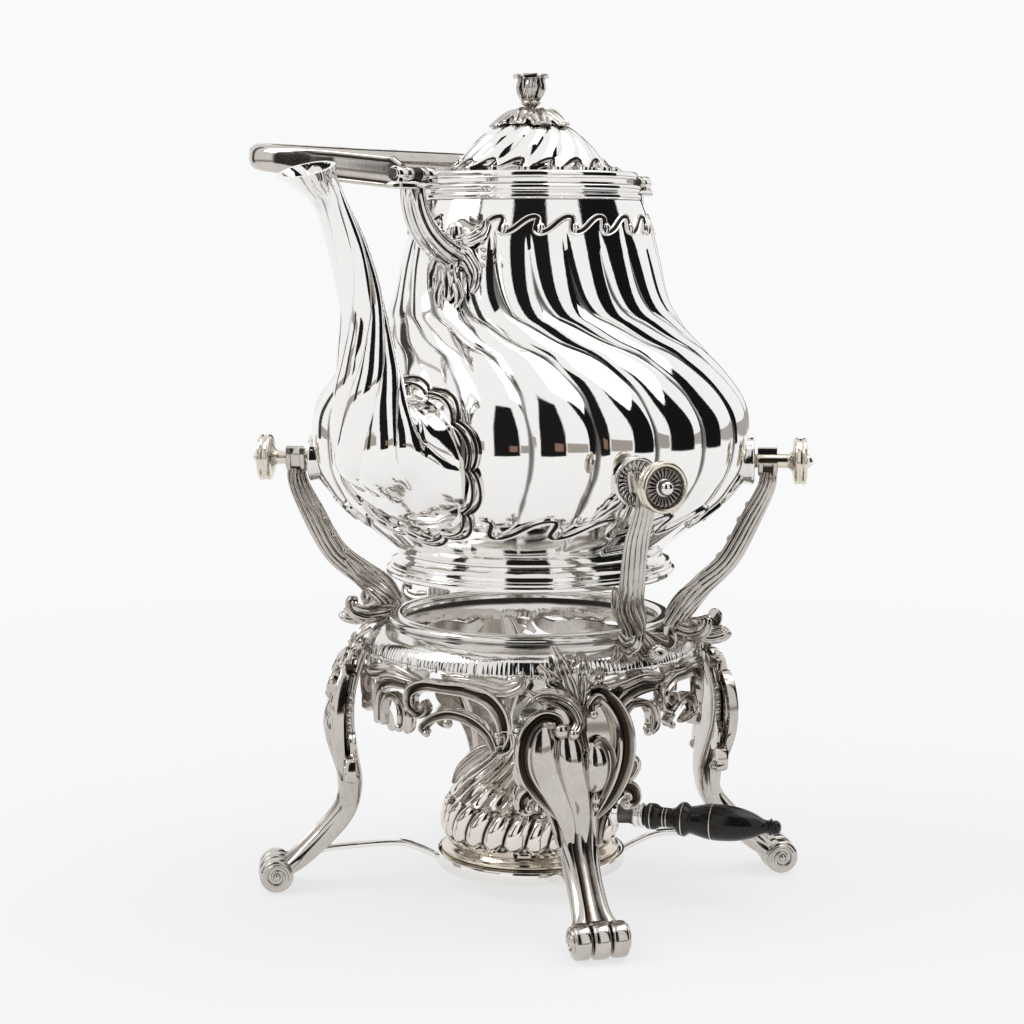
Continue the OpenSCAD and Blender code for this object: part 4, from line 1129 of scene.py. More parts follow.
@dataclass
class HandleLugs:
    """The two lugs of the swing handle, each with a fluted stem and a leafed mount."""

    plan: Plan
    surface: LobedSurface
    half: float = 13.55
    ear: float = 6.0
    knuckle_r: float = 3.3

    def build(self) -> None:
        """Makes the front and the rear lug."""
        front = self.lug()
        rear = front.turned(180)
        front.piece("handle_lug_front", CHASED_SILVER, Body.KETTLE, ["front_lug"], hollow=0.16, reach=6)
        rear.piece("handle_lug_rear", CHASED_SILVER, Body.KETTLE, ["rear_lug"], hollow=0.16, reach=6)
        dress("handle_hinge_pins", PLAIN_SILVER)

    def lug(self) -> Blank:
        """Stem, ears and leaf mount of one lug."""
        p, blank, reach = self.plan, Blank(), self.plan.hinge_reach
        plate = p.hinge_z - self.knuckle_r - 0.35 - 2.6
        stem = spline([
            (reach + 0.6, 0, plate + 0.6), (reach - 1, 0, plate - 8), (reach - 6, 0, plate - 16),
            (reach - 15, 0, plate - 23), (reach - 25, 0, plate - 27.5), (p.neck_r + 6, 0, plate - 30)], 6)
        blank.sweep([Vector(q) for q in stem], Vector((0, 1, 0)),
                    lambda t: reeded(5.2 + 1.2 * t, 5.6 + 1.8 * t, 48, 8, 0.9 * ease(t * 5)))
        blank.box(Vector((reach, 0, plate + 1.3)), (2 * self.half, 8.4, 2.6), 0.6, 3)
        for s in (-1, 1):
            middle = Vector((reach + s * (self.half - self.ear / 2), 0, p.hinge_z))
            h = self.ear / 2
            blank.lathe([(1.4, -h), (self.knuckle_r, -h), (self.knuckle_r, h), (1.4, h)], 40,
                        Matrix.Translation(middle) @ Matrix.Rotation(math.pi / 2, 4, "Y"), 0.35)
            blank.box(middle - Vector((0, 0, 2.4)), (self.ear, 5.6, 3), 0.4, 2)
        self.mount(blank)
        return blank

    def mount(self, blank: Blank) -> None:
        """Leaves, pearls and a smooth oval that spread from the stem's root over the neck."""
        p, surface = self.plan, self.surface
        root_z = p.mouth_z - 24

        def laid(spots: Sequence[Row], wide: float, high: float, folds: int, tip: float = 0.15) -> None:
            """One leaf along spots of angle, height and lift."""
            spine = spline(spots, 5)
            blank.sweep([surface.point(a, z, lift) for a, z, lift in spine],
                        [surface.normal(a, z) for a, z, _ in spine],
                        lambda t: blade(wide * (tip + (1 - tip)
                                                * math.sin(math.pi * min(1, 0.3 + 0.7 * t)) ** 0.7)
                                        * (0.8 + 0.2 * abs(math.cos(3.5 * math.pi * t))),
                                        high * (1 - 0.5 * t), folds, 0.8))

        laid([(0, root_z + 4, 5), (0, root_z - 6, 4.5), (0, root_z - 14, 2.4), (0, root_z - 21, 1.6)], 6.4,
             2.6, 3)
        for s in (-1, 1):
            laid([(0, root_z + 2, 4), (7 * s, root_z - 2, 3), (11 * s, root_z - 9, 1.4),
                  (10 * s, root_z - 17, 1)],
                 4.2, 2.2, 2)
            laid([(0, root_z + 4, 4), (8 * s, root_z + 6, 2.6), (13 * s, root_z + 10, 1),
                  (13.5 * s, root_z + 15, .8)],
                 3.6, 2, 2)
            laid([(2 * s, root_z - 10, 3), (5 * s, root_z - 18, 1.6), (4 * s, root_z - 24, 1)], 2.8, 1.8, 1)
            for k in range(7):
                z = root_z + 9 - 3.4 * k
                blank.ball(surface.point(s * (10.5 + 3.5 * math.sin(0.5 * k)), z, 1.1), 1.35 - 0.07 * k)
        blank.ball(surface.point(0, root_z + 8, 3), 4.4, Vector((0.8, 1, 1.25)), 3)


@dataclass
class SwingHandle:
    """The bow: a flat strap with raised borders that turns into a smooth rounded grip."""

    plan: Plan
    reach: float = 100.0
    strap_t: float = 4.6
    rest: float = 6.0
    corner: float = 22.0
    stations: int = 260
    # rows of distance from the hinge, half height, half thickness and how far the borders stand up
    sizes: list[Row] = field(default_factory=lambda: [
        (0, 2.8, 2.2, 0), (3.8, 3.2, 2.2, 0), (10.6, 6.9, 2.2, 1), (41.6, 6.9, 2.2, 1), (55, 6.7, 2.7, 0.6),
        (60.6, 6.6, 3.2, 0.2), (72.7, 6.2, 4.6, 0), (94, 6, 5.2, 0), (150, 5.9, 5.5, 0), (180, 5.8, 5.3, 0)])

    @property
    def straight(self) -> float:
        """Length of a side up to its corner."""
        return self.reach - self.strap_t / 2 - self.corner

    @property
    def half_length(self) -> float:
        """Length of the middle line from a hinge to the middle."""
        return self.straight + self.corner * math.pi / 2 + self.plan.hinge_reach + 1 - self.corner

    @property
    def upright(self) -> Vector:
        """Direction square to the folded bow's plane."""
        tilt = math.radians(self.rest)
        return Vector((0, math.sin(tilt), math.cos(tilt)))

    def point(self, along: float) -> Vector:
        """Point of the middle line at a distance from the front hinge."""
        side, bend = self.plan.hinge_reach + 1, self.corner * math.pi / 2
        q = min(along, 2 * self.half_length - along)
        if q <= self.straight:
            x, depth = side, q
        elif q <= self.straight + bend:
            a = (q - self.straight) / self.corner
            x, depth = side - self.corner * (1 - math.cos(a)), self.straight + self.corner * math.sin(a)
        else:
            x, depth = side - self.corner - (q - self.straight - bend), self.straight + self.corner
        tilt = math.radians(self.rest)
        return (Vector((x if along <= self.half_length else -x, 0, self.plan.hinge_z))
                + depth * Vector((0, -math.cos(tilt), math.sin(tilt))))

    def section(self, along: float) -> Section:
        """Section at a distance from the front hinge."""
        q = min(along, 2 * self.half_length - along)
        high, thick, rim = (lookup(q, self.sizes, column) for column in (1, 2, 3))
        square = 0.42 + 0.4 * (1 - rim)
        out = []
        for k in range(48):
            w = 2 * math.pi * k / 48
            c, s = math.cos(w), math.sin(w)
            x = math.copysign(abs(c) ** square, c)
            border = (0.55 * math.exp(-((abs(x) - 0.86) / 0.1) ** 2)
                      - 0.5 * math.exp(-((abs(x) - 0.62) / 0.12) ** 2))
            y = math.copysign(abs(s) ** (0.6 + 0.3 * (1 - rim)), s) * (thick + border * rim)
            out.append((high * x, y))
        return out

    def build(self) -> None:
        """Makes the bow with its knuckles and leaves."""
        p, blank = self.plan, Blank()
        step = 2 * self.half_length / self.stations
        path = [self.point(k * step) for k in range(self.stations + 1)]
        rings = []
        for i, q in enumerate(path):
            t = heading(path, i)
            s = (self.upright - self.upright.dot(t) * t).normalized()
            u = t.cross(s)
            rings.append([q + a * s + b * u for a, b in self.section(i * step)])
        blank.loft(rings)
        for s in (-1, 1):
            blank.lathe([(1.4, -7.2), (3.3, -7.2), (3.3, -3.4), (3, -3.1), (3, 3.1), (3.3, 3.4), (3.3, 7.2),
                         (1.4, 7.2)],
                        40, Matrix.Translation((s * p.hinge_reach, 0, p.hinge_z))
                        @ Matrix.Rotation(math.pi / 2, 4, "Y"), 0.25)
        self.leaves(blank)
        blank.piece("handle_bow_strap", CAST_SILVER, Body.HANDLE, ["handle_bow"], hollow=0.14, reach=6)

    def leaves(self, blank: Blank) -> None:
        """Leafy curls that wind round the grip."""
        for first, last, start, sweep in ((92, 122, -60, 150), (118, 150, 80, -150), (146, 176, -60, 150)):
            for mirror in (False, True):
                spine, ups = [], []
                for k in range(17):
                    t = k / 16
                    q = first + (last - first) * t
                    q = 2 * self.half_length - q if mirror else q
                    around = math.radians(start + sweep * ease(t))
                    along = (self.point(q + 1) - self.point(q - 1)).normalized()
                    s = (self.upright - self.upright.dot(along) * along).normalized()
                    u = along.cross(s) * (-1 if mirror else 1)
                    spine.append(self.point(q) + s * 5.0 * math.cos(around) + u * 4.5 * math.sin(around))
                    ups.append((s * math.cos(around) + u * math.sin(around)).normalized())
                blank.sweep(spine, ups, leaf(2.9, 1.4, 2, 0.5, start=0, span=1, power=0.7, fall=0.9, waves=4,
                                             notch=0.15))


@dataclass
class Lid:
    """The hinged lid with its fluted dome and bud finial."""

    plan: Plan
    flutes: int = 16
    steps: int = 14
    dome_turn: float = 40.0
    finial_h: float = 22.0

    @property
    def dome_z(self) -> float:
        """Height at which the dome starts."""
        return self.plan.rim_z + 6

    @property
    def top_z(self) -> float:
        """Height of the dome's top."""
        return self.dome_z + self.plan.dome_h + 0.15

    def outline(self) -> list[tuple[float, ...]]:
        """Dome rows of radius, height and flute depth."""
        r = self.plan.lid_r
        rows = [(r - 5.4, 0, 0), (r - 10, 0.04, 0.2), (r - 13.4, 0.11, 0.9), (r - 16.6, 0.28, 1.7),
                (r - 20.8, 0.5, 1.9), (r - 26.4, 0.74, 1.6), (r - 32.4, 0.91, 1.0), (9, 1, 0.2)]
        return [(a, self.dome_z + 0.15 + self.plan.dome_h * b, c, self.dome_turn * b)
                for a, b, c in spline(rows, 5)]

    def build(self) -> None:
        """Makes flange, dome, border and finial."""
        self.bezel()
        blank, n = Blank(), self.flutes * self.steps
        rings = [[polar(r - lobes(k / self.steps, deep), 360 * k / n + turn, z) for k in range(n)]
                 for r, z, deep, turn in self.outline()]
        inner = [[polar(max(r - 2.6 - deep, 1.6), 360 * k / n + turn, z - (1.6 if r < 38 else 0))
                  for k in range(n)]
                 for r, z, deep, turn in self.outline()[::-4]]
        blank.loft(rings + inner, loop=True)
        blank.piece("lid_dome_fluted", RAISED_SILVER, Body.LID, ["lid_dome"], crisp=38, hollow=0.3, reach=8)
        self.border()
        self.leaves()
        self.bud()
        dress("finial_screw", PLAIN_SILVER)

    def bezel(self) -> None:
        """The flange, its skirt and the middle knuckle."""
        p, blank = self.plan, Blank()
        flange, top, skirt = p.rim_z + 2.8, self.dome_z, p.mouth_r - 1.4
        blank.lathe([
            (skirt - 1.6, p.rim_z - 7), (skirt, p.rim_z - 7), (skirt, p.rim_z + 0.3),
            (p.mouth_r + 1.6, p.rim_z + 0.3),
            (p.mouth_r + 1.6, flange), (p.lid_r - 0.5, flange), (p.lid_r, flange + 0.7), (p.lid_r, top - 0.9),
            (p.lid_r - 0.7, top - 0.1), (p.lid_r - 1.6, top), (p.lid_r - 3.2, top - 0.35),
            (p.lid_r - 4.4, top), (skirt - 1.6, top)], 160, ease_by=0.25)
        middle = Vector((-p.lid_r - 5.5, 0, p.rim_z + 2))
        blank.lathe([(1.4, -5), (3, -5), (3, 5), (1.4, 5)], 40,
                    Matrix.Translation(middle) @ Matrix.Rotation(math.pi / 2, 4, "X"), 0.3)
        blank.box(Vector((-p.lid_r - 1.6, 0, p.rim_z + 3.3)), (7.6, 10, 1.8), 0.5, 3)
        blank.piece("lid_flange", PLAIN_SILVER, Body.LID, ["lid_bezel"], hollow=0.2, reach=5)

    def border(self) -> None:
        """A running wave round the foot of the dome."""
        blank, steps, rows = Blank(), 20, self.outline()
        by_height = [(row[1], row[0]) for row in rows]
        path, ups = [], []
        for k in range(self.flutes * steps):
            w = 2 * math.pi * k / steps
            z = self.dome_z + 3.1 + 2.1 * math.cos(w)
            a = 360 / self.flutes * (k / steps + 0.17 * math.cos(w) + 0.03 * math.sin(2 * w))
            r = lookup(z, by_height)
            slope = (lookup(z + 0.5, by_height) - lookup(z - 0.5, by_height))
            n = polar(1, a, 0)
            n.z = -slope
            n.normalize()
            path.append(polar(r, a, z) - 0.25 * n)
            ups.append(n)
        blank.sweep(path, ups, ribbon(1.1, 1.0), closed=True)
        blank.piece("lid_wave_border", CHASED_SILVER, Body.LID, crisp=60, hollow=0.1, reach=4)

    def leaves(self) -> None:
        """A collar of folded leaves under the bud."""
        blank, z = Blank(), self.top_z
        blank.lathe([(1.6, 0.2 + z), (7, 0.2 + z), (5.4, 2 + z), (4.4, 3.6 + z), (1.6, 3.7 + z)], 48,
                    ease_by=0.2)
        for k in range(9):
            a = 40 * k + 10
            wide, long, lift = (6.6, 18.4, 0.0) if k % 3 else (5.6, 16.6, 0.7)
            spine = spline([(3.2, 3.9 + lift), (7, 4.4 + lift), (11.4, 2.9 + lift), (long - 2, -0.6 + lift),
                            (long, -1.9 + lift), (long + 1, -1.0 + lift)], 6)
            path = [polar(r, a, z + h) for r, h in spine]
            sideways = polar(1, a + 90, 0)
            ups = [heading(path, i).cross(sideways) * -1 for i in range(len(path))]
            ups = [u if u.z > 0 else -u for u in ups]
            blank.sweep(path, ups, leaf(wide, 1.7, 3, 0.8, least=0, start=0.16, span=0.8, fall=0.6, waves=2.5,
                                        notch=0.24))
        blank.piece("finial_leaf_collar", CAST_SILVER, Body.LID, ["finial_leaves"], hollow=0.3, reach=4)

    def bud(self) -> None:
        """A half-open bud of curled petals on a short stem."""
        blank, z = Blank(), self.top_z + 3.7
        high = self.finial_h - 3.7
        blank.lathe([(0, 0 + z), (3.6, 0 + z), (3.9, 0.8 + z), (2.7, 2.2 + z), (2.6, 3 + z), (4.3, 4.3 + z),
                     (4.6, 5 + z), (3.5, 6.4 + z), (3.4, 7.2 + z), (4.4, 9 + z), (4, 13 + z), (3, 15 + z),
                     (0, 15.4 + z)], 48, ease_by=0.2, closed=False)
        for k in range(5):
            a = 72 * k + 20
            twist = 10
            spine = spline([(3.0, 5.6, 0), (5.0, 8.4, 2), (6.0, 12, 5), (5.4, 15, 8),
                            (5.9, high - 1.4, twist),
                            (7.1, high - 1.1, twist + 2), (7.1, high - 2.4, twist + 3)], 5)
            path = [polar(r, a + q, z + h) for r, h, q in spine]
            ups = [heading(path, i).cross(polar(1, a + q[2] + 90, 0)) * -1 for i, q in enumerate(spine)]
            blank.sweep(path, ups, leaf(2.6, 1.1, 2, 0.6, least=0.9, start=0.1, span=0.62, power=0.9,
                                        fall=0.5))
        for k in range(5):
            a = 72 * k + 56
            spine = spline([(2.8, 8, 0), (4.2, 12, 0), (3.8, 15, 3), (4.4, high - 1.4, 5)], 5)
            path = [polar(r, a + q, z + h) for r, h, q in spine]
            ups = [polar(1, a + q[2], 0) for q in spine]
            blank.sweep(path, ups, leaf(2.6, 1.1, 1, 0.5, least=0.7, start=0.1, span=0.7, power=1))
        blank.piece("finial_bud_petals", CAST_SILVER, Body.LID, ["finial_bud"], hollow=0.3, reach=4)


# ---------------------------------------------------------------- stand


@dataclass
class StandRing:
    """The ring that the kettle hangs over, with a rolled lip and a striated skirt."""

    plan: Plan
    cuts: int = 230

    def build(self) -> None:
        """Makes the rolled lip and the skirt in one piece."""
        r, z, blank = self.plan.ring_bore_r, self.plan.stand_h, Blank()
        n = self.cuts * 5
        rows = spline([(r, z - 4, 0), (r, z - 1.4, 0), (r + 1.8, z, 0), (r + 5, z, 0), (r + 7.2, z - 1.9, 0),
                       (r + 6.8, z - 4, 0), (r + 9.6, z - 5.2, 0), (r + 13.8, z - 7.6, 0),
                       (r + 16.6, z - 10.6, 0.15),
                       (r + 18.1, z - 13.8, 0.45), (r + 18.4, z - 16.4, 0.55), (r + 17.6, z - 18, 0.3)], 5)
        under = [(r + 14, z - 14.6, 0), (r + 8, z - 9.4, 0), (r + 4.5, z - 5, 0)]
        rings = []
        for radius, height, deep in rows + under:
            ring = []
            for k in range(n):
                j = k // 5
                uneven = max(0.12, 0.5 + 0.5 * math.sin(j * 2.37) * math.cos(j * 0.31))
                fringe = 1.5 * (0.5 + 0.5 * math.sin(j * 1.1)
                                * math.cos(j * 0.37)) * ease((z - 14.5 - height) / 2.5)
                ring.append(polar(radius - lobes(k / 5, deep * uneven, 0.6), 360 * k / n, height + fringe))
            rings.append(ring)
        blank.loft(rings, loop=True)
        blank.piece("stand_ring_skirted", CHASED_SILVER, Body.STAND, ["stand_ring"], crisp=60, hollow=0.2,
                    reach=3)


@dataclass
class StandArms:
    """Four striated arms that rise from the ring to the open cradles."""

    plan: Plan
    reeds: int = 13

    @property
    def cradle_in(self) -> float:
        """Radius at which the cradles start."""
        return self.plan.boss_face + 1.6

    def build(self) -> None:
        """Makes one arm and repeats it, mirrored where it must be."""
        for side in Side:
            ahead, way = side.value
            blank = self.arm() if ahead * way > 0 else self.arm().mirrored()
            blank.turned(0 if ahead > 0 else 180).piece(
                f"arm_striated_{side.label}", CAST_SILVER, Body.STAND, [f"arm_{side.label}"], hollow=0.2,
                reach=4)

    def limb(self, blank: Blank, rows: Sequence[Row], twist: float) -> list[Vector]:
        """A striated limb.

        Args:
            blank: where it is added.
            rows: radius, angle from the side, height, half width and half thickness.
            twist: turns of the striations along it.
        Returns:
            The middle line.
        """
        path = [polar(q[0], 90 - q[1], q[2]) for q in rows]
        rings, across = [], Vector((1, 0, 0))
        for i, q in enumerate(path):
            t = heading(path, i)
            s = (across - across.dot(t) * t).normalized()
            u = t.cross(s)
            turn = 2 * math.pi * twist * i / (len(path) - 1)
            ring = []
            for k in range(self.reeds * 8):
                w = 2 * math.pi * k / (self.reeds * 8)
                cut = 1 - 0.13 * lobes(k / 8 + self.reeds * turn / (2 * math.pi), 1, 0.8)
                ring.append(q + rows[i][3] * cut * math.cos(w) * s + rows[i][4] * cut * math.sin(w) * u)
            rings.append(ring)
        blank.loft(rings)
        return path

    def arm(self) -> Blank:
        """The front left arm."""
        p, blank = self.plan, Blank()
        top_r, cradle_r, away = self.cradle_in + 4.5, p.pin_r + p.seat_gap + 3.6, 90 - p.pin_angle
        r, z = p.ring_bore_r, p.stand_h
        path = self.limb(blank, spline([
            (r + 9, away * 0.45, z - 4.4, 6, 4.4), (r + 14, away * 0.58, z + 5, 7, 5),
            (top_r - 29, away * 0.78, z + 15, 7.4, 5), (top_r - 17, away * 0.93, z + 27, 7.2, 4.6),
            (top_r - 7, away, p.pin_z - 26, 7, 4.4), (top_r - 0.4, away, p.pin_z - cradle_r - 5, 6, 3.8),
            (top_r + 0.4, away, p.pin_z - p.pin_r - 1.5, 5, 3.6)], 9), 0.16)
        self.limb(blank, spline([
            (r + 13, away * 0.52, z - 1, 3, 3), (r + 19, away * 0.55, z - 4, 5, 4),
            (r + 27, away * 0.6, z - 7, 5, 4.2),
            (r + 33, away * 0.63, z - 6, 4.6, 3.8), (r + 35, away * 0.64, z - 4.6, 2, 2)], 6), 0.1)
        self.cradle(blank, cradle_r)
        self.leaf_wrap(blank, path)
        return blank

    def cradle(self, blank: Blank, outer: float) -> None:
        """The open U that the pin rests in, higher on one side, between two collars."""
        p, bore = self.plan, self.plan.pin_r + self.plan.seat_gap
        place = Matrix.Rotation(math.radians(p.pin_angle), 4,
                                "Z") @ Matrix.Translation((self.cradle_in, 0, p.pin_z))
        inside = [Vector((0, bore * math.cos(a), bore * math.sin(a)))
                  for a in (math.radians(q) for q in range(0, -181, -12))]
        rings = []
        for x, grow in ((0, -0.5), (0.4, 0), (2, 0), (2.5, -0.6), (6.5, -0.6), (7, 0), (8.6, 0), (9, -0.5)):
            r = outer + grow
            loop = [Vector((0, r * math.cos(a), r * math.sin(a)))
                    for a in (math.radians(q) for q in range(-150, 1, 12))]
            horn = [Vector((0, -bore - 0.5, 4.6)), Vector((0, -bore - 1.7, 6)), Vector((0, -r + 0.4, 5)),
                    Vector((0, -r, 2))]
            rings.append([place @ (Vector((x, 0, 0)) + v) for v in loop + inside + horn])
        blank.loft(rings)

    def leaf_wrap(self, blank: Blank, path: Sequence[Vector]) -> None:
        """Curled leaves at the elbow and balls up the inner face."""
        n = len(path)
        low = path[int(n * 0.16)]
        out = Vector((low.x, low.y, 0)).normalized()
        side = Vector((0, 0, 1)).cross(out)
        for s in (-1, 1):
            spine = spline([tuple(low + s * side * q[0] + out * q[1] + Vector((0, 0, q[2]))) for q in (
                (3, -6, -7), (6.6, 0, -8), (9.4, 6, -8.6), (11, 12, -6.4), (9.6, 14, -2.6),
                (7.6, 11.6, -2.2))], 6)
            blank.sweep([Vector(q) for q in spine], side * s, leaf(3.6, 1.6, 3, 0.8, least=0.8))
            spine = spline([tuple(path[int(n * q[0])] + s * side * q[1] + out * q[2]) for q in (
                (0.12, 3, -4), (0.24, 6.4, -3.4), (0.36, 7.4, -2), (0.46, 5.4, -4.6))], 7)
            blank.sweep([Vector(q) for q in spine], side * s, leaf(3, 1.3, 3, 0.6, start=0.15, span=0.8))
        for k, share in enumerate((0.5, 0.57, 0.64, 0.71)):
            q = path[int(n * share)]
            blank.ball(q - Vector((q.x, q.y, 0)).normalized() * 4.4, 2.3 - 0.22 * k, Vector((1, 1, 1.15)))


def dome(half: float, high: float, n: int = 17) -> Section:
    """Smooth crowned section with a flat back."""
    top = [(half * math.cos(math.pi * k / (n - 1)), max(0.05, high * math.sin(math.pi * k / (n - 1)) ** 0.75))
           for k in range(n)]
    return top + [(-half * 0.9, -1.0), (half * 0.9, -1.0)]


def channel(half: float, high: float) -> Section:
    """Scroll section: a thick rounded outer lip, a hollow and a thin inner lip."""
    return [(half, -1), (half, high * 0.7), (half * 0.82, high), (half * 0.55, high * 0.92),
            (half * 0.34, high * 0.5),
            (half * 0.1, high * 0.32), (-half * 0.2, high * 0.34), (-half * 0.5, high * 0.56),
            (-half * 0.68, high * 0.8), (-half * 0.84, high * 0.78), (-half, high * 0.45), (-half, -1)]


@dataclass
class StandLegs:
    """Four legs, each with a rolled foot and a lobed shield in a frame of scrolls."""

    plan: Plan
    scroll_r: float = 8.3
    foot_w: float = 24.0

    def build(self) -> None:
        """Makes one leg and one shield and repeats them."""
        leg, shield = self.leg(), self.shield()
        for side in Side:
            turn = side.turn(self.plan.leg_angle)
            leg.turned(turn).piece(f"leg_scrolled_{side.label}", CAST_SILVER, Body.STAND,
                                   [f"leg_{side.label}"], hollow=0.6, reach=5)
            shield.turned(turn).piece(f"shield_framed_{side.label}", CAST_SILVER, Body.STAND,
                                      [f"shield_{side.label}"], hollow=0.5, reach=4)

    @cached_property
    def rows(self) -> list[tuple[float, ...]]:
        """The leg's middle line: radius, height, half thickness and half width."""
        k, h, far = self.plan.skirt_r, self.plan.stand_h, self.plan.foot_reach
        return spline([
            (k + 1.4, h - 15, 3, 9), (k + 6.4, h - 28, 3, 16), (k + 8.6, h - 40, 3, 18.6),
            (k + 8.6, h * 0.59, 3.2, 18),
            (k + 7.4, h * 0.49, 3.8, 13.6), (k + 6.6, h * 0.39, 4.6, 10.4), (k + 9.6, h * 0.29, 4.8, 8.8),
            (far - 24, 26, 4.8, 8), (far - 13, 15.6, 4.4, 8.6), (far - 6, 10.8, 3.6, 11)], 9)

    @cached_property
    def faces(self) -> list[tuple[float, float]]:
        """Heights and radii of the leg's outer face."""
        return sorted((row[1], row[0] + row[2]) for row in self.rows)

    def face(self, z: float) -> float:
        """Radius of the leg's outer face at a height."""
        return lookup(z, self.faces)

    def leg(self) -> Blank:
        """The shank with three reeds down its face, its side scrolls and the foot roll."""
        blank, rows = Blank(), self.rows
        rings = []
        path = [Vector((row[0], 0, row[1])) for row in rows]
        for i, q in enumerate(path):
            t = heading(path, i)
            across = Vector((0, 1, 0))
            out = across.cross(t) * -1
            out = out if out.x > 0 else -out
            _, z, thick, half = rows[i]
            reed = ease((72 - z) / 16)
            ring = []
            for k in range(60):
                w = 2 * math.pi * k / 60
                c, s = math.cos(w), math.sin(w)
                x = math.copysign(abs(c) ** 0.5, c)
                y = math.copysign(abs(s) ** 0.75, s)
                cut = 1.5 * reed * (math.exp(-((x - 0.36) / 0.1) ** 2)
                                    + math.exp(-((x + 0.3) / 0.1) ** 2)) * (s > 0)
                crown = 1.2 * reed * max(0, 1 - abs(x)) * (s > 0)
                ring.append(q + across * (half * x) + out * (thick * y - cut + crown))
            rings.append(ring)
        blank.loft(rings)
        self.side_scrolls(blank)
        self.foot(blank)
        return blank

    def side_scrolls(self, blank: Blank) -> None:
        """Leafed curls that leave the shank on both sides, and pearls up the leg's edges."""
        for s in (-1, 1):
            rows = spline([(7.5, 40), (9.5, 50), (13, 58.6), (19, 64.6), (24.4, 64), (25.6, 59.6),
                           (22.6, 57.4)], 8)
            path = [Vector((self.face(z) - 3.6, s * y, z)) for y, z in rows]
            blank.sweep(path, Vector((1, 0, 0)),
                        lambda t: channel(1.4 + 1.9 * math.sin(math.pi * (0.15 + 0.6 * t)), 4.2))
            blank.ball(path[-1], 2.9, Vector((1.2, 1, 1)), 3)
            rows = spline([(17, 66), (23, 69), (26, 74.6), (23.6, 78.6)], 6)
            path = [Vector((self.face(z) - 5, s * y, z)) for y, z in rows]
            blank.sweep(path, Vector((1, 0, 0)), leaf(3, 2.4, 3, 0.8, start=0.1, span=0.8, power=1))
            for k in range(6):
                z = 95 - 3.6 * k
                blank.ball(Vector((self.face(z) - 3.2, s * 18.4, z)), 1.9 - 0.12 * k)

    def foot(self, blank: Blank) -> None:
        """Three rolled lobes side by side with volutes on the outer faces, flat where they stand."""
        r, z, far = self.scroll_r, self.scroll_r - 0.3, self.plan.foot_reach
        lobe = (self.foot_w - 1.8) / 3
        for i in range(3):
            y = -self.foot_w / 2 + lobe / 2 + i * (lobe + 0.9)
            big, h = (r, lobe / 2) if i == 1 else (r - 0.35, lobe / 2)
            place = Matrix.Translation((far, y, z)) @ Matrix.Rotation(math.pi / 2, 4, "X")
            blank.lathe([
                (0, -h), (big - 1.2, -h), (big - 0.3, -h + 0.7), (big, -h + 2), (big, h - 2),
                (big - 0.3, h - 0.7), (big - 1.2, h), (0, h)], 72, place, 0.25, closed=False)
        for s in (-1, 1):
            spine = []
            for k in range(44):
                a = math.radians(200 - 16 * k)
                q = (r - 1.9) * (1 - k / 52)
                spine.append(Vector((far + q * math.cos(a), s * self.foot_w / 2, z + q * math.sin(a))))
            blank.sweep(spine, Vector((0, s, 0)), lambda t: dome(1.0 - 0.4 * t, 1.0))
            blank.ball(Vector((far, s * self.foot_w / 2, z)), 1.9, Vector((1, 0.7, 1)), 3)
        for v in blank.bm.verts:
            v.co.z = max(v.co.z, 0)

    def line(self, rows: Sequence[Row], steps: int = 7) -> tuple[list[Vector], list[tuple[float, ...]]]:
        """Path over the leg's face through rows of side, height, lift, half width and thickness."""
        fine = spline(rows, steps)
        return [Vector((self.face(q[1]) + q[2], q[0], q[1])) for q in fine], fine

    def lobe(self, blank: Blank, rows: Sequence[Row]) -> None:
        """A smooth swelling of the shield along rows of side, height, lift, half width and thickness."""
        path, fine = self.line(rows, 8)
        n = len(fine) - 1
        blank.sweep(path, Vector((1, 0, 0)), lambda t: dome(fine[round(t * n)][3], fine[round(t * n)][4]))

    def scroll(self, blank: Blank, rows: Sequence[Row], eye: float = 0.0, leafy: bool = False) -> None:
        """A scroll along rows of side, height, lift, half width and thickness, with a ball at its end."""
        path, fine = self.line(rows, 8)
        n = len(fine) - 1
        shape = (lambda w, h: blade(w, h, 4, 0.9, 19)) if leafy else channel
        blank.sweep(path, Vector((1, 0, 0)), lambda t: shape(fine[round(t * n)][3], fine[round(t * n)][4]))
        if eye:
            blank.ball(path[-1] + Vector((fine[-1][4] * 0.5, 0, 0)), eye, Vector((0.9, 1, 1)), 3)

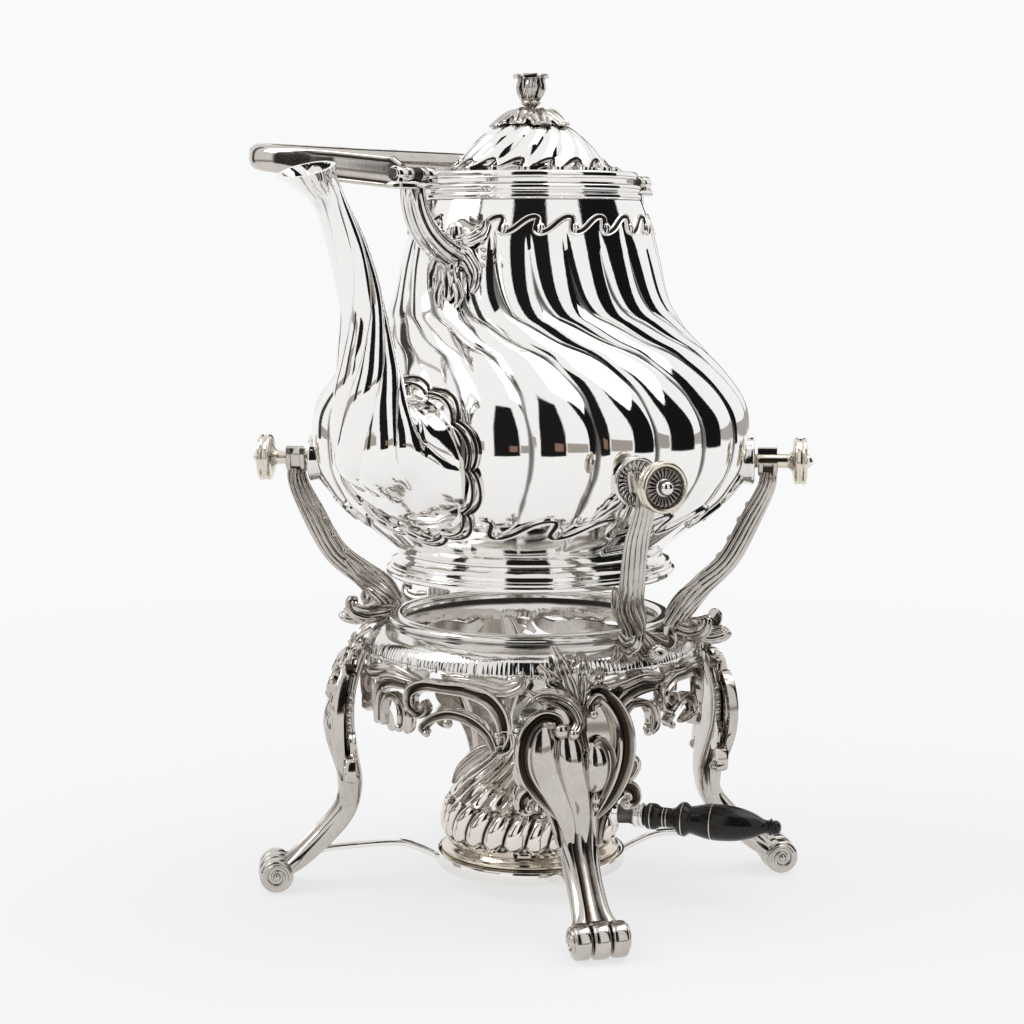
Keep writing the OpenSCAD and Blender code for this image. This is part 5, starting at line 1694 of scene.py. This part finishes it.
    def shield(self) -> Blank:
        """Plate with three swellings that run down into the shank, framed by C-scrolls."""
        blank = Blank()
        self.lobe(blank, [(-11, 96, -1, 3, 1.5), (-16, 91, 0, 6, 4.2), (-17.5, 82, 0, 7, 5.6),
                          (-13.5, 70, 0, 6.8, 5),
                          (-8.5, 59, 0, 5.2, 3.6), (-5.6, 50, 0, 3.6, 2.2), (-4.6, 42, -0.6, 2.2, 1)])
        self.lobe(blank, [(-3.4, 94, -1, 3, 2), (-5.4, 88, 0.4, 5.6, 5), (-5.2, 79, 1, 6.4, 7),
                          (-2.4, 68, 0.6, 6, 6),
                          (0.2, 57, 0, 4.8, 3.6), (1, 48, -0.4, 3.4, 1.8), (1.2, 42, -0.8, 2, 1)])
        self.lobe(blank, [(5.4, 87, 0, 3, 3), (6.2, 82, 0.6, 5.2, 6), (6.6, 75, 0.8, 5.8, 7),
                          (6.4, 68, 0.4, 4.6, 5.4), (6.6, 64, 0, 2, 2)])
        self.scroll(blank, [(4, 106.6, -1, 2.6, 3), (8.4, 108, 0, 3.2, 3.6), (14.6, 103.6, 0.4, 3.8, 4),
                            (19.2, 94, 0.6, 4.2, 4.4), (20, 82, 0.8, 4.4, 4.6), (17.6, 70.6, 0.6, 4, 4.2),
                            (12.8, 60.6, 0.4, 3, 3.4), (7.6, 53, 0, 1.2, 1.6)])
        self.scroll(blank, [(5, 87.6, 4, 1, 1.2), (8.6, 88.4, 3, 1.5, 2), (12.6, 84, 2, 1.8, 2.6),
                            (13.8, 76, 1.6, 1.8, 2.8), (11.8, 67, 1, 1.6, 2.4), (8, 60, 0.6, 1, 1.6)])
        self.scroll(blank, [(-6, 49.6, 0, 1, 1), (-12, 56.6, 0.2, 2, 2.4), (-19.4, 65, 0.4, 2.8, 3.2),
                            (-25, 74, 0.6, 3.2, 3.8), (-26.6, 84, 0.8, 3.4, 4.2), (-24, 93.6, 0.8, 3.4, 4.4),
                            (-17.6, 99, 1, 3.2, 4.4), (-11.4, 98, 1.6, 2.8, 4), (-9.4, 93.4, 2, 2.2, 3.6)],
                    3.4)
        self.scroll(blank, [(-24, 103, -2, 1, 1), (-18, 107.6, 0, 2.6, 3.2), (-10, 107.4, 1.4, 3.4, 4.2),
                            (-3.6, 103, 2.2, 3.4, 4.4), (-1.2, 96.6, 3, 3, 4), (-4.2, 92, 3.6, 2.2, 3.4)],
                    2.4, True)
        self.scroll(blank, [(1.6, 98, 0.6, 1.2, 2), (0.6, 92, 2, 1.6, 3), (1.8, 86, 3, 1.2, 2.4),
                            (3.6, 82, 3.4, 0.5, 1)])
        self.scroll(blank, [(12, 104, 1, 0.8, 1), (8, 106.6, 3, 2, 2.4), (4.4, 103.6, 4, 2.2, 2.8),
                            (5, 100, 4.4, 1.6, 2.4)],
                    2.0)
        blank.ball(Vector((self.face(62) + 2, 6.6, 61.6)), 2.2, Vector((1, 1, 1.2)), 3)
        blank.ball(Vector((self.face(62) + 1.6, 6.8, 57.6)), 1.4, Vector((1, 1, 1.4)), 3)
        self.crest(blank)
        return blank

    def crest(self, blank: Blank) -> None:
        """A fan of striated leaves that rises from the shield over the skirt."""
        skirt = self.plan.skirt_r
        for lean, long, wide, side in ((-30, 20, 3.6, -3), (-13, 25, 4.4, -1), (6, 22, 4.2, 1),
                                       (24, 17, 3.8, 3), (-62, 16, 3.2, -6), (58, 13, 3.2, 6)):
            a = math.radians(lean)
            spine = []
            for k in range(17):
                t = k / 16
                z = 102 + long * t * math.cos(a)
                wall = skirt + 7.4 - 0.36 * max(0, z - 104) - 0.022 * max(0, z - 112) ** 2
                curl = 2.6 * math.sin(math.pi * max(0, t - 0.6) / 0.4) * (t > 0.6)
                spine.append(Vector((wall + curl, side + long * t * math.sin(a) * (1 + 0.25 * t), z)))
            ups = [heading(spine, i).cross(Vector((0, 1, 0))) for i in range(len(spine))]
            ups = [u if u.x > 0 else -u for u in ups]
            blank.sweep(spine, ups, leaf(wide, 2.8, 4, 0.9, span=0.72, fall=1.4, waves=3, notch=0.18, n=19))


@dataclass
class StandAprons:
    """Openwork of C-scrolls under the skirt, between the legs."""

    plan: Plan

    def build(self) -> None:
        """Makes one apron and repeats it on four sides, with a shorter drop over the burner's grip."""
        apron, short = self.apron(True), self.apron(False)
        for label, turn in (("front", 0), ("left", 90), ("rear", 180), ("right", -90)):
            (short if label == "left" else apron).turned(turn).piece(
                f"apron_openwork_{label}", CAST_SILVER, Body.STAND, [f"apron_{label}"], hollow=0.5, reach=4)

    def run(self, blank: Blank, rows: Sequence[Row], folds: int = 0, eye: float = 0.0) -> None:
        """A scroll bent round the skirt.

        Args:
            blank: where it is added.
            rows: distance along the skirt, height, lift, half width and thickness.
            folds: striations along it, or 0 for a hollowed scroll.
            eye: radius of the ball that ends it.
        """
        r = self.plan.skirt_r - 1.6
        fine = spline(rows, 8)
        path = [polar(r + q[2], math.degrees(q[0] / r), q[1]) for q in fine]
        ups = [polar(1, math.degrees(q[0] / r), 0) for q in fine]
        n = len(fine) - 1

        def section(t: float) -> Section:
            """Section at a share of the path."""
            half, high = fine[round(t * n)][3:5]
            front = blade(half, high, folds, 0.8, 4 * folds + 5) if folds else channel(half, high)
            return [(x, y if y > 0 else -2.2) for x, y in front]

        blank.sweep(path, ups, section)
        if eye:
            blank.ball(path[-1] + 0.6 * ups[-1], eye, fine=3)

    def apron(self, drop: bool) -> Blank:
        """Front apron: a rail of leaves, a wide C-scroll in the middle and arches at its sides.

        Args:
            drop: a long leaf hangs from the middle.
        Returns:
            The apron.
        """
        blank = Blank()
        self.run(blank, [(-50, 112, 1, 2, 2), (-43, 107.6, 2, 3.6, 3.4), (-34, 108.6, 2, 4.2, 3.6),
                         (-24, 110.6, 1.6, 3.8, 3.2), (-13, 109.4, 1.2, 2.4, 2.4), (-6, 108.2, 1, 0.8, 1)], 4)
        self.run(blank, [(6, 110.8, 1, 0.8, 1), (14, 110.4, 1.4, 2.4, 2.6), (24, 109, 1.8, 3.4, 3.2),
                         (34, 107.6, 2.2, 3.6, 3.4),
                         (41, 110.6, 2.8, 3, 3), (42, 115.6, 3.2, 1.8, 2)], 4, 1.6)
        self.run(blank, [(33, 82, 1.4, 1.4, 2), (34.6, 89, 1.6, 3, 3.4), (33, 97.4, 1.8, 3.8, 3.8),
                         (27.4, 104.4, 2, 4, 4),
                         (18, 107.4, 2, 3.4, 3.8), (7, 107.6, 2, 2.8, 3.4), (-3, 107.4, 2.2, 2.8, 3.4),
                         (-10, 103.6, 2.4, 2.8, 3.4),
                         (-10.6, 97.4, 2.6, 2.6, 3.2), (-6, 94, 2.8, 2.2, 3), (-1.8, 97, 3, 1.8, 2.8),
                         (-3.4, 100.4, 3.2, 1.2, 2.4)])
        self.run(blank, [(31.6, 80.6, 1, 2.6, 3), (36, 83, 1.6, 2.4, 3), (35.4, 88.6, 2, 1.8, 2.4),
                         (31.6, 88, 2.4, 1.2, 2)], 0, 1.6)
        self.run(blank, [(30, 80, 0.6, 1.6, 2), (27, 87.4, 0.8, 2.2, 2.6), (20, 93.4, 1, 2.6, 3),
                         (10, 95.6, 1.2, 2.4, 3),
                         (1, 92.8, 1.4, 2, 2.6), (-4.6, 88, 1.6, 1.8, 2.4), (-2.4, 85.4, 2, 1.2, 2)], 0, 1.7)
        leaf = ([(29, 82, 0, 1.4, 2), (23, 79, 0, 3, 2.8), (14, 71, 0, 2.4, 2.4), (10, 64, 0, 0.8, 1)]
                if drop else
                [(30, 84, 0, 1.2, 2), (25, 85, 0, 2.4, 2.6), (18, 84.6, 0, 2, 2.2), (12, 84, 0, 0.8, 1)])
        self.run(blank, leaf, 4)
        self.run(blank, [(-39.6, 84, 1, 1.8, 2.4), (-38.6, 94, 1.2, 2.6, 3), (-34, 101.6, 1.4, 2.8, 3.2),
                         (-25, 105.4, 1.6, 2.6, 3), (-14, 105.6, 1.8, 1.8, 2.4)])
        self.run(blank, [(-34.6, 84, 1, 1, 1.6), (-33.4, 92, 1.2, 1.5, 2), (-28.6, 98.4, 1.4, 1.6, 2.2),
                         (-21.6, 98.8, 1.6, 1.8, 2.4),
                         (-17, 94.6, 1.8, 2.2, 2.6), (-16.4, 88.6, 2, 2.4, 2.8), (-19, 85.4, 2, 1.4, 2)], 0,
                 2)
        self.run(blank, [(-14.6, 99, 1, 1, 1.4), (-13.4, 93, 1.4, 2.4, 2.6), (-13.8, 87, 1.6, 2.6, 2.6),
                         (-15.6, 83.6, 1.6, 1, 1)], 3)
        return blank


@dataclass
class BurnerCarrier:
    """The shallow ring and the four stays that carry the burner."""

    plan: Plan

    def build(self) -> None:
        """Makes the ring and its stays."""
        r, z, wall = self.plan.burner_r, self.plan.burner_z - 2, 1.7
        out = r + 0.6
        blank = Blank()
        blank.lathe([(r - 5, z), (out + 1.6, z), (out + 1.6, z + 6), (out, z + 6), (out, z + wall),
                     (r - 5, z + wall)],
                    128, ease_by=0.4)
        blank.piece("burner_carrier", PLAIN_SILVER, Body.STAND, ["burner_ring"], hollow=0.2, reach=4)
        stay = Blank()
        tip = self.plan.foot_reach - 22.7
        rows = spline([(out + 1, z + 2.9), (out + 10, z + 7.5), (out + 21, z + 10.5), (tip - 8, z + 9.5),
                       (tip + 3, z + 8)], 7)
        stay.sweep([Vector((a, 0, b)) for a, b in rows], Vector((0, 0, 1)),
                   lambda t: [(2.5 * x, 1.4 * y - 0.35 * math.exp(-(x / 0.3) ** 2) * (y > 0.5))
                              for x, y in oval(1, 1, 32, 0.5)])
        for side in Side:
            stay.turned(side.turn(self.plan.leg_angle)).piece(
                f"stay_strap_{side.label}", PLAIN_SILVER, Body.STAND, [f"stay_{side.label}"], hollow=0.12,
                reach=4)


# ---------------------------------------------------------------- burner


@dataclass
class SpiritBurner:
    """The gadrooned burner with its neck, wick holder and ebony grip."""

    plan: Plan
    bowl_h: float = 48.0
    gadroons: int = 24
    steps: int = 16
    bowl_turn: float = 46.0
    filler_r: float = 10.3
    grip_len: float = 64.85
    grip_r: float = 8.5
    grip_turn: float = 15.0

    @property
    def bowl_z(self) -> float:
        """Height of the bowl's lower seam."""
        return self.plan.burner_z + 9

    @property
    def neck_z(self) -> float:
        """Height of the neck's lower seam."""
        return self.bowl_z + self.bowl_h + 0.15

    @property
    def grip_z(self) -> float:
        """Height of the grip's axis."""
        return self.bowl_z + self.bowl_h * 0.32

    def build(self) -> None:
        """Makes every piece of the burner."""
        self.base()
        self.bowl()
        self.neck()
        self.handle()
        self.holder()
        self.wick()

    def base(self) -> None:
        """Stepped base."""
        r, z, blank = self.plan.burner_r, self.plan.burner_z, Blank()
        blank.lathe([
            (0, z), (r - 1, z), (r, z + 0.8), (r, z + 2.2), (r - 1.4, z + 2.9), (r - 1.6, z + 4.2),
            (r - 0.5, z + 4.9),
            (r - 0.5, z + 6), (r - 2.2, z + 6.6), (r - 3, z + 7.6), (r - 4, self.bowl_z - 0.15),
            (r - 9, self.bowl_z - 0.15), (r - 9, z + 2.6), (0, z + 2.6)], 144, ease_by=0.3, closed=False)
        blank.piece("burner_base_stepped", WORN_GILT, Body.BURNER, ["burner_base"], hollow=0.18, reach=4)

    def outline(self) -> list[tuple[float, ...]]:
        """Bowl rows of radius, height, bulb, shoulder flute depth and turn."""
        rows = [(0.9, 0, 0, 0), (0.945, 0.08, 0.5, 0), (0.955, 0.16, 1, 0), (0.955, 0.26, 1, 0),
                (0.93, 0.36, 0.85, 0),
                (0.9, 0.43, 0.5, 0.4), (0.86, 0.49, 0, 1.2), (0.76, 0.62, 0, 1.7), (0.6, 0.75, 0, 1.6),
                (0.46, 0.87, 0, 0.9), (0.4, 1, 0, 0.2)]
        return [(self.plan.burner_r * a, self.bowl_z + self.bowl_h * b, max(0, c), max(0, d),
                 self.bowl_turn * b * b)
                for a, b, c, d in spline(rows, 7)]

    def bowl(self) -> None:
        """Bowl with upright bulbs below and turned flutes above, double walled up to the filler."""
        blank, n = Blank(), self.gadroons * self.steps
        rings = []
        for r, z, bulb, flute, turn in self.outline():
            ring = []
            for k in range(n):
                arch = math.sin(math.pi * (k % self.steps) / self.steps)
                tall = max(0.0, 1 - ((1 - bulb) / max(0.05, arch)) ** 1.5) if bulb < 1 else 1.0
                ring.append(polar(r + 2.9 * tall * arch ** 0.75 - 0.9 * (bulb > 0.4)
                                  - flute * (1 - arch) * (1 - tall),
                                  360 * k / n + turn, z))
            rings.append(ring)
        rows = self.outline()
        inner = [[polar(max(r - 3.6, self.filler_r), 360 * k / n + turn, z if r < 19 else z - 1)
                  for k in range(n)]
                 for r, z, _, _, turn in rows[:-1][::-6]]
        mouth = [polar(self.filler_r, 360 * k / n + self.bowl_turn, self.bowl_z + self.bowl_h)
                 for k in range(n)]
        inner[-1] = [polar(self.plan.burner_r * 0.9 - 4, 360 * k / n, self.bowl_z) for k in range(n)]
        blank.loft(rings + [mouth] + inner, loop=True)
        blank.piece("burner_bowl_gadrooned", LAMP_SILVER, Body.BURNER, ["burner_bowl"], crisp=38,
                    hollow=0.3, reach=8)

    def neck(self) -> None:
        """Moulded filler neck."""
        z, r, f, blank = self.neck_z, self.plan.burner_r * 0.4, self.filler_r, Blank()
        blank.lathe([(f, z), (r - 0.4, z), (r + 0.5, z + 0.7), (r + 0.5, z + 1.4), (r - 0.4, z + 2.2),
                     (r - 1.6, z + 2.9), (r - 1.6, z + 5), (f, z + 5)], 96, ease_by=0.25)
        blank.piece("burner_neck_moulded", PLAIN_SILVER, Body.BURNER, ["burner_neck"], hollow=0.15, reach=4)

    def handle(self) -> None:
        """Silver socket and turned ebony grip with pale rings."""
        start, socket = self.plan.burner_r - 3, 17.4
        swing = Matrix.Rotation(math.radians(self.grip_turn), 4, "Z")
        place = swing @ Matrix.Translation((0, start, self.grip_z)) @ Matrix.Rotation(-math.pi / 2, 4, "X")
        blank = Blank()
        blank.lathe([(0, 0), (6.3, 0), (6.4, 2.6), (5.4, 3.6), (4.6, 4.8), (4.2, socket * 0.55),
                     (4.8, socket - 5.4),
                     (5.9, socket - 4.6), (5.9, socket - 3.8), (5.1, socket - 3.3), (5.1, socket - 2.6),
                     (5.8, socket - 1.8), (5.8, socket - 0.6), (5, socket), (0, socket)], 72, place, 0.25,
                    closed=False)
        blank.piece("grip_socket_turned", PLAIN_SILVER, Body.BURNER, ["grip_socket"], hollow=0.15, reach=4)
        place = (swing @ Matrix.Translation((0, start + socket + 0.15, self.grip_z))
                 @ Matrix.Rotation(-math.pi / 2, 4, "X"))
        tail = [(4.8, 0), (6.1, 0.02), (6.2, 0.05), (6.1, 0.08), (4.7, 0.115), (4.6, 0.2), (5.6, 0.23),
                (7.4, 0.255), (8, 0.275), (8, 0.3), (6.3, 0.335)]
        barrel = [(self.grip_r * a, b) for a, b in spline(
            [(0.78, 0.36), (0.96, 0.46), (1, 0.56), (0.92, 0.68), (0.7, 0.79), (0.44, 0.86), (0.36, 0.89)],
            6)]
        knob = [(3.2, 0.91), (4.2, 0.925), (3, 0.94), (3.35, 0.955), (3.3, 0.97), (2.5, 0.988), (1.2, 0.997),
                (0, 1)]
        blank = Blank()
        blank.lathe([(0, 0)] + [(r, self.grip_len * h) for r, h in tail + barrel + knob], 80, place, 0.18,
                    closed=False)
        blank.piece("burner_grip_ebony", EBONY, Body.BURNER, ["burner_grip"], crisp=35, hollow=0.2, reach=4)
        rings = Blank()
        for r, h in ((6.15, 0.05), (4.62, 0.14), (4.6, 0.165), (8.0, 0.287), (8.42, 0.5)):
            c = self.grip_len * h
            rings.lathe([(r - 0.35, c - 0.22), (r + 0.06, c - 0.22), (r + 0.1, c), (r + 0.06, c + 0.22),
                         (r - 0.35, c + 0.22)], 64, place)
        rings.piece("grip_pale_rings", WORN_GILT, Body.BURNER, crisp=50, hollow=0.2, reach=2)

    def holder(self) -> None:
        """Flanged wick holder with a milled edge."""
        top, plug, w = self.neck_z + 5.3, self.filler_r - 0.3, 4.05
        blank = Blank()
        blank.lathe([(w, top - 14), (plug, top - 14), (plug, top), (plug + 3, top), (plug + 3.4, top + 1),
                     (plug + 2.4, top + 2), (6.2, top + 2.6), (5.2, top + 4), (5.2, top + 5.4),
                     (5.5, top + 5.7), (5.4, top + 6), (w, top + 6)], 96, ease_by=0.2)
        for k in range(48):
            blank.ball(polar(plug + 3.1, 7.5 * k, top + 1), 0.5, Vector((1, 1, 1.5)), 1)
        blank.piece("wick_holder_turned", PLAIN_SILVER, Body.WICK_HOLDER, ["wick_holder"], hollow=0.15,
                    reach=4)

    def wick(self) -> None:
        """Plaited wick with a frayed top."""
        top, blank, n = self.neck_z + 5.3, Blank(), 60
        rings = []
        for j in range(90):
            t = j / 89
            z = top - 36 + 44.5 * t
            ring = []
            for k in range(n):
                a = 2 * math.pi * k / n
                plait = 0.22 * math.sin(5 * a + 1.4 * (z - top)) * math.sin(5 * a - 1.4 * (z - top))
                fray = 0.5 * ease((t - 0.97) / 0.03) * math.sin(9 * a)
                rings_r = 3.76 + plait
                ring.append(Vector((rings_r * math.cos(a), rings_r * math.sin(a), z - abs(fray))))
            rings.append(ring)
        blank.loft(rings)
        blank.piece("wick_plaited", COTTON, Body.WICK_HOLDER, ["wick"], crisp=70, hollow=0.1, reach=3)


# ---------------------------------------------------------------- studio


@dataclass
class Studio:
    """Pale floor, white surroundings, dark cards that the silver mirrors, lamps and the camera.

    Lengths are in metres here. The floor's own white takes over from its shadows between near and far.
    """

    lens: float = 75.2
    eye: tuple[float, float, float] = (0.829, 0.559, 0.306)
    pitch: float = -7.35
    yaw: float = 0.5
    backdrop: tuple[float, float, float, float] = (0.95, 0.95, 0.955, 1)
    room_light: float = 0.75
    near: float = 0.25
    far: float = 0.9

    def build(self) -> None:
        """Sets everything up."""
        self.floor()
        self.cards()
        self.lamps()
        self.world()
        self.camera()
        bpy.context.scene.view_settings.view_transform = "Standard"

    def white(self, name: str, colour: float, shown: float) -> bpy.types.Material:
        """Matt material that the camera and mirrors see as a plain white.

        Args:
            name: the material's name.
            colour: its own grey.
            shown: how much of the plain white shows.
        Returns:
            The material.
        """
        def shade(nodes: Nodes) -> bpy.types.Node:
            """Mixes the paper with a plain white that grows with the distance."""
            paper = nodes.add("BsdfDiffuse", Color=(colour, colour, colour, 1))
            plain = nodes.add("Emission", Color=self.backdrop, Strength=1.0)
            place = nodes.add("TexCoord")
            away = nodes.add("VectorMath", operation="LENGTH")
            nodes.link(place.outputs["Object"], away.inputs[0])
            far = nodes.add("MapRange", From_Min=self.near, From_Max=self.far, To_Min=shown, To_Max=1.0)
            nodes.link(away.outputs["Value"], far.inputs["Value"])
            share = nodes.add("Math", operation="MULTIPLY")
            nodes.link(sharp_rays(nodes), share.inputs[0])
            nodes.link(far.outputs[0], share.inputs[1])
            mixed = nodes.add("MixShader")
            nodes.link(share.outputs[0], mixed.inputs[0])
            nodes.link(paper.outputs[0], mixed.inputs[1])
            nodes.link(plain.outputs[0], mixed.inputs[2])
            return mixed

        return wired(name, shade)

    def prop(self, name: str, bm: bmesh.types.BMesh, material: bpy.types.Material) -> bpy.types.Object:
        """Turns a mesh into a thing of the studio."""
        mesh = bpy.data.meshes.new(name)
        bm.to_mesh(mesh)
        bm.free()
        mesh.materials.append(material)
        obj = bpy.data.objects.new(name, mesh)
        bpy.context.scene.collection.objects.link(obj)
        return obj

    def floor(self) -> None:
        """A wide pale table top."""
        bm = bmesh.new()
        bmesh.ops.create_grid(bm, x_segments=1, y_segments=1, size=6)
        self.prop("floor", bm, self.white("floor_paper", 0.86, 0.72)).location.z = -0.0004

    def card(self, name: str, azimuth: float, distance: float, spread: float, low: float, high: float,
             tone: tuple[float, float, float]) -> None:
        """An upright card that only mirrors see.

        Args:
            name: the card's name.
            azimuth: the direction of its middle from the object in degrees.
            distance: its distance in metres.
            spread: half the angle that it covers in degrees.
            low: its lower edge in metres.
            high: its upper edge in metres.
            tone: its colour.
        """
        bm = bmesh.new()
        wide = 2 * distance * math.tan(math.radians(spread))
        place = (Matrix.Rotation(math.radians(azimuth), 4,
                                 "Z") @ Matrix.Translation((distance, 0, (low + high) / 2))
                 @ Matrix.Rotation(math.pi / 2, 4, "Y"))
        bmesh.ops.create_grid(bm, x_segments=1, y_segments=1, size=0.5,
                              matrix=place @ Matrix.Diagonal((high - low, wide, 1, 1)))
        paint = wired(f"paint_{name}", lambda nodes: nodes.add("Emission", Color=(*tone, 1), Strength=1.0))
        obj = self.prop(name, bm, paint)
        obj.visible_camera = False
        obj.visible_diffuse = False
        obj.visible_shadow = False

    def cards(self) -> None:
        """The dark room behind the camera and at its right, and greys low down all round."""
        for name, azimuth, distance, spread, low, high, tone in (
                ("room", 33, 1.5, 19, 0.0, 3.0, (0.012, 0.011, 0.011)),
                ("right", 114, 1.7, 24, 0.0, 3.6, (0.008, 0.008, 0.009)),
                ("left", -30, 1.9, 7, 0.0, 2.6, (0.03, 0.028, 0.026)),
                ("rear", 205, 2.2, 9, 0.1, 2.2, (0.05, 0.045, 0.04)),
                ("rear_left", 268, 2.4, 6, 0.0, 2.4, (0.06, 0.055, 0.05)),
                ("table", 42, 1.4, 6, 0.13, 0.24, (0.24, 0.15, 0.11)),
                ("low_left", -45, 2.6, 44, 0.0, 0.3, (0.4, 0.36, 0.33)),
                ("low_right", 71, 2.5, 17, 0.0, 0.3, (0.36, 0.33, 0.3)),
                ("low_rear", 180, 2.7, 50, 0.0, 0.3, (0.42, 0.39, 0.37))):
            self.card(f"card_{name}", azimuth, distance, spread, low, high, tone)

    def lamp(self, name: str, spot: tuple[float, float, float], size: float, watts: float) -> None:
        """A soft square lamp that looks at the kettle."""
        data = bpy.data.lights.new(name, "AREA")
        data.size, data.energy = size, watts
        obj = bpy.data.objects.new(name, data)
        obj.location = spot
        aim = Vector((0, 0, 0.18)) - Vector(spot)
        obj.rotation_euler = aim.to_track_quat("-Z", "Y").to_euler()
        bpy.context.scene.collection.objects.link(obj)

    def lamps(self) -> None:
        """One large soft lamp over the left shoulder and one fill from above."""
        self.lamp("lamp_left", (1.2, -1.2, 1.8), 1.2, 14)
        self.lamp("lamp_above", (-0.6, 0.6, 2.0), 1.4, 10)

    def world(self) -> None:
        """Plain white surroundings."""
        world = bpy.data.worlds.new("studio_white")
        world.use_nodes = True
        nodes = Nodes(world.node_tree)
        strength = nodes.add("MapRange", To_Min=self.room_light, To_Max=1.0)
        nodes.link(sharp_rays(nodes), strength.inputs["Value"])
        back = nodes.add("Background", Color=self.backdrop)
        nodes.link(strength.outputs[0], back.inputs["Strength"])
        nodes.link(back.outputs[0], nodes.add("OutputWorld").inputs["Surface"])
        bpy.context.scene.world = world

    def camera(self) -> None:
        """The camera, level with the lid and a little to the spout's left."""
        data = bpy.data.cameras.new("camera")
        data.lens, data.sensor_width = self.lens, 36
        obj = bpy.data.objects.new("camera", data)
        eye = Vector(self.eye)
        back = math.atan2(eye.y, eye.x)
        look = (Matrix.Rotation(back + math.radians(self.yaw), 4, "Z")
                @ Matrix.Rotation(math.radians(self.pitch), 4, "Y") @ Vector((-1, 0, 0)))
        obj.location = eye
        obj.rotation_euler = look.to_track_quat("-Z", "Y").to_euler()
        bpy.context.scene.collection.objects.link(obj)
        bpy.context.scene.camera = obj


def main() -> None:
    """Builds the sub-assemblies in order."""
    logging.basicConfig(level=logging.INFO, format="%(message)s")
    for part in (KettleBody(PLAN, SURFACE), Spout(PLAN, SURFACE), CarryingPins(PLAN, SURFACE),
                 HandleLugs(PLAN, SURFACE), SwingHandle(PLAN), Lid(PLAN), StandRing(PLAN), StandArms(PLAN),
                 StandLegs(PLAN), StandAprons(PLAN), BurnerCarrier(PLAN), SpiritBurner(PLAN), Studio()):
        part.build()
        LOG.info("%s is built", type(part).__name__)


if __name__ == "__main__":
    main()
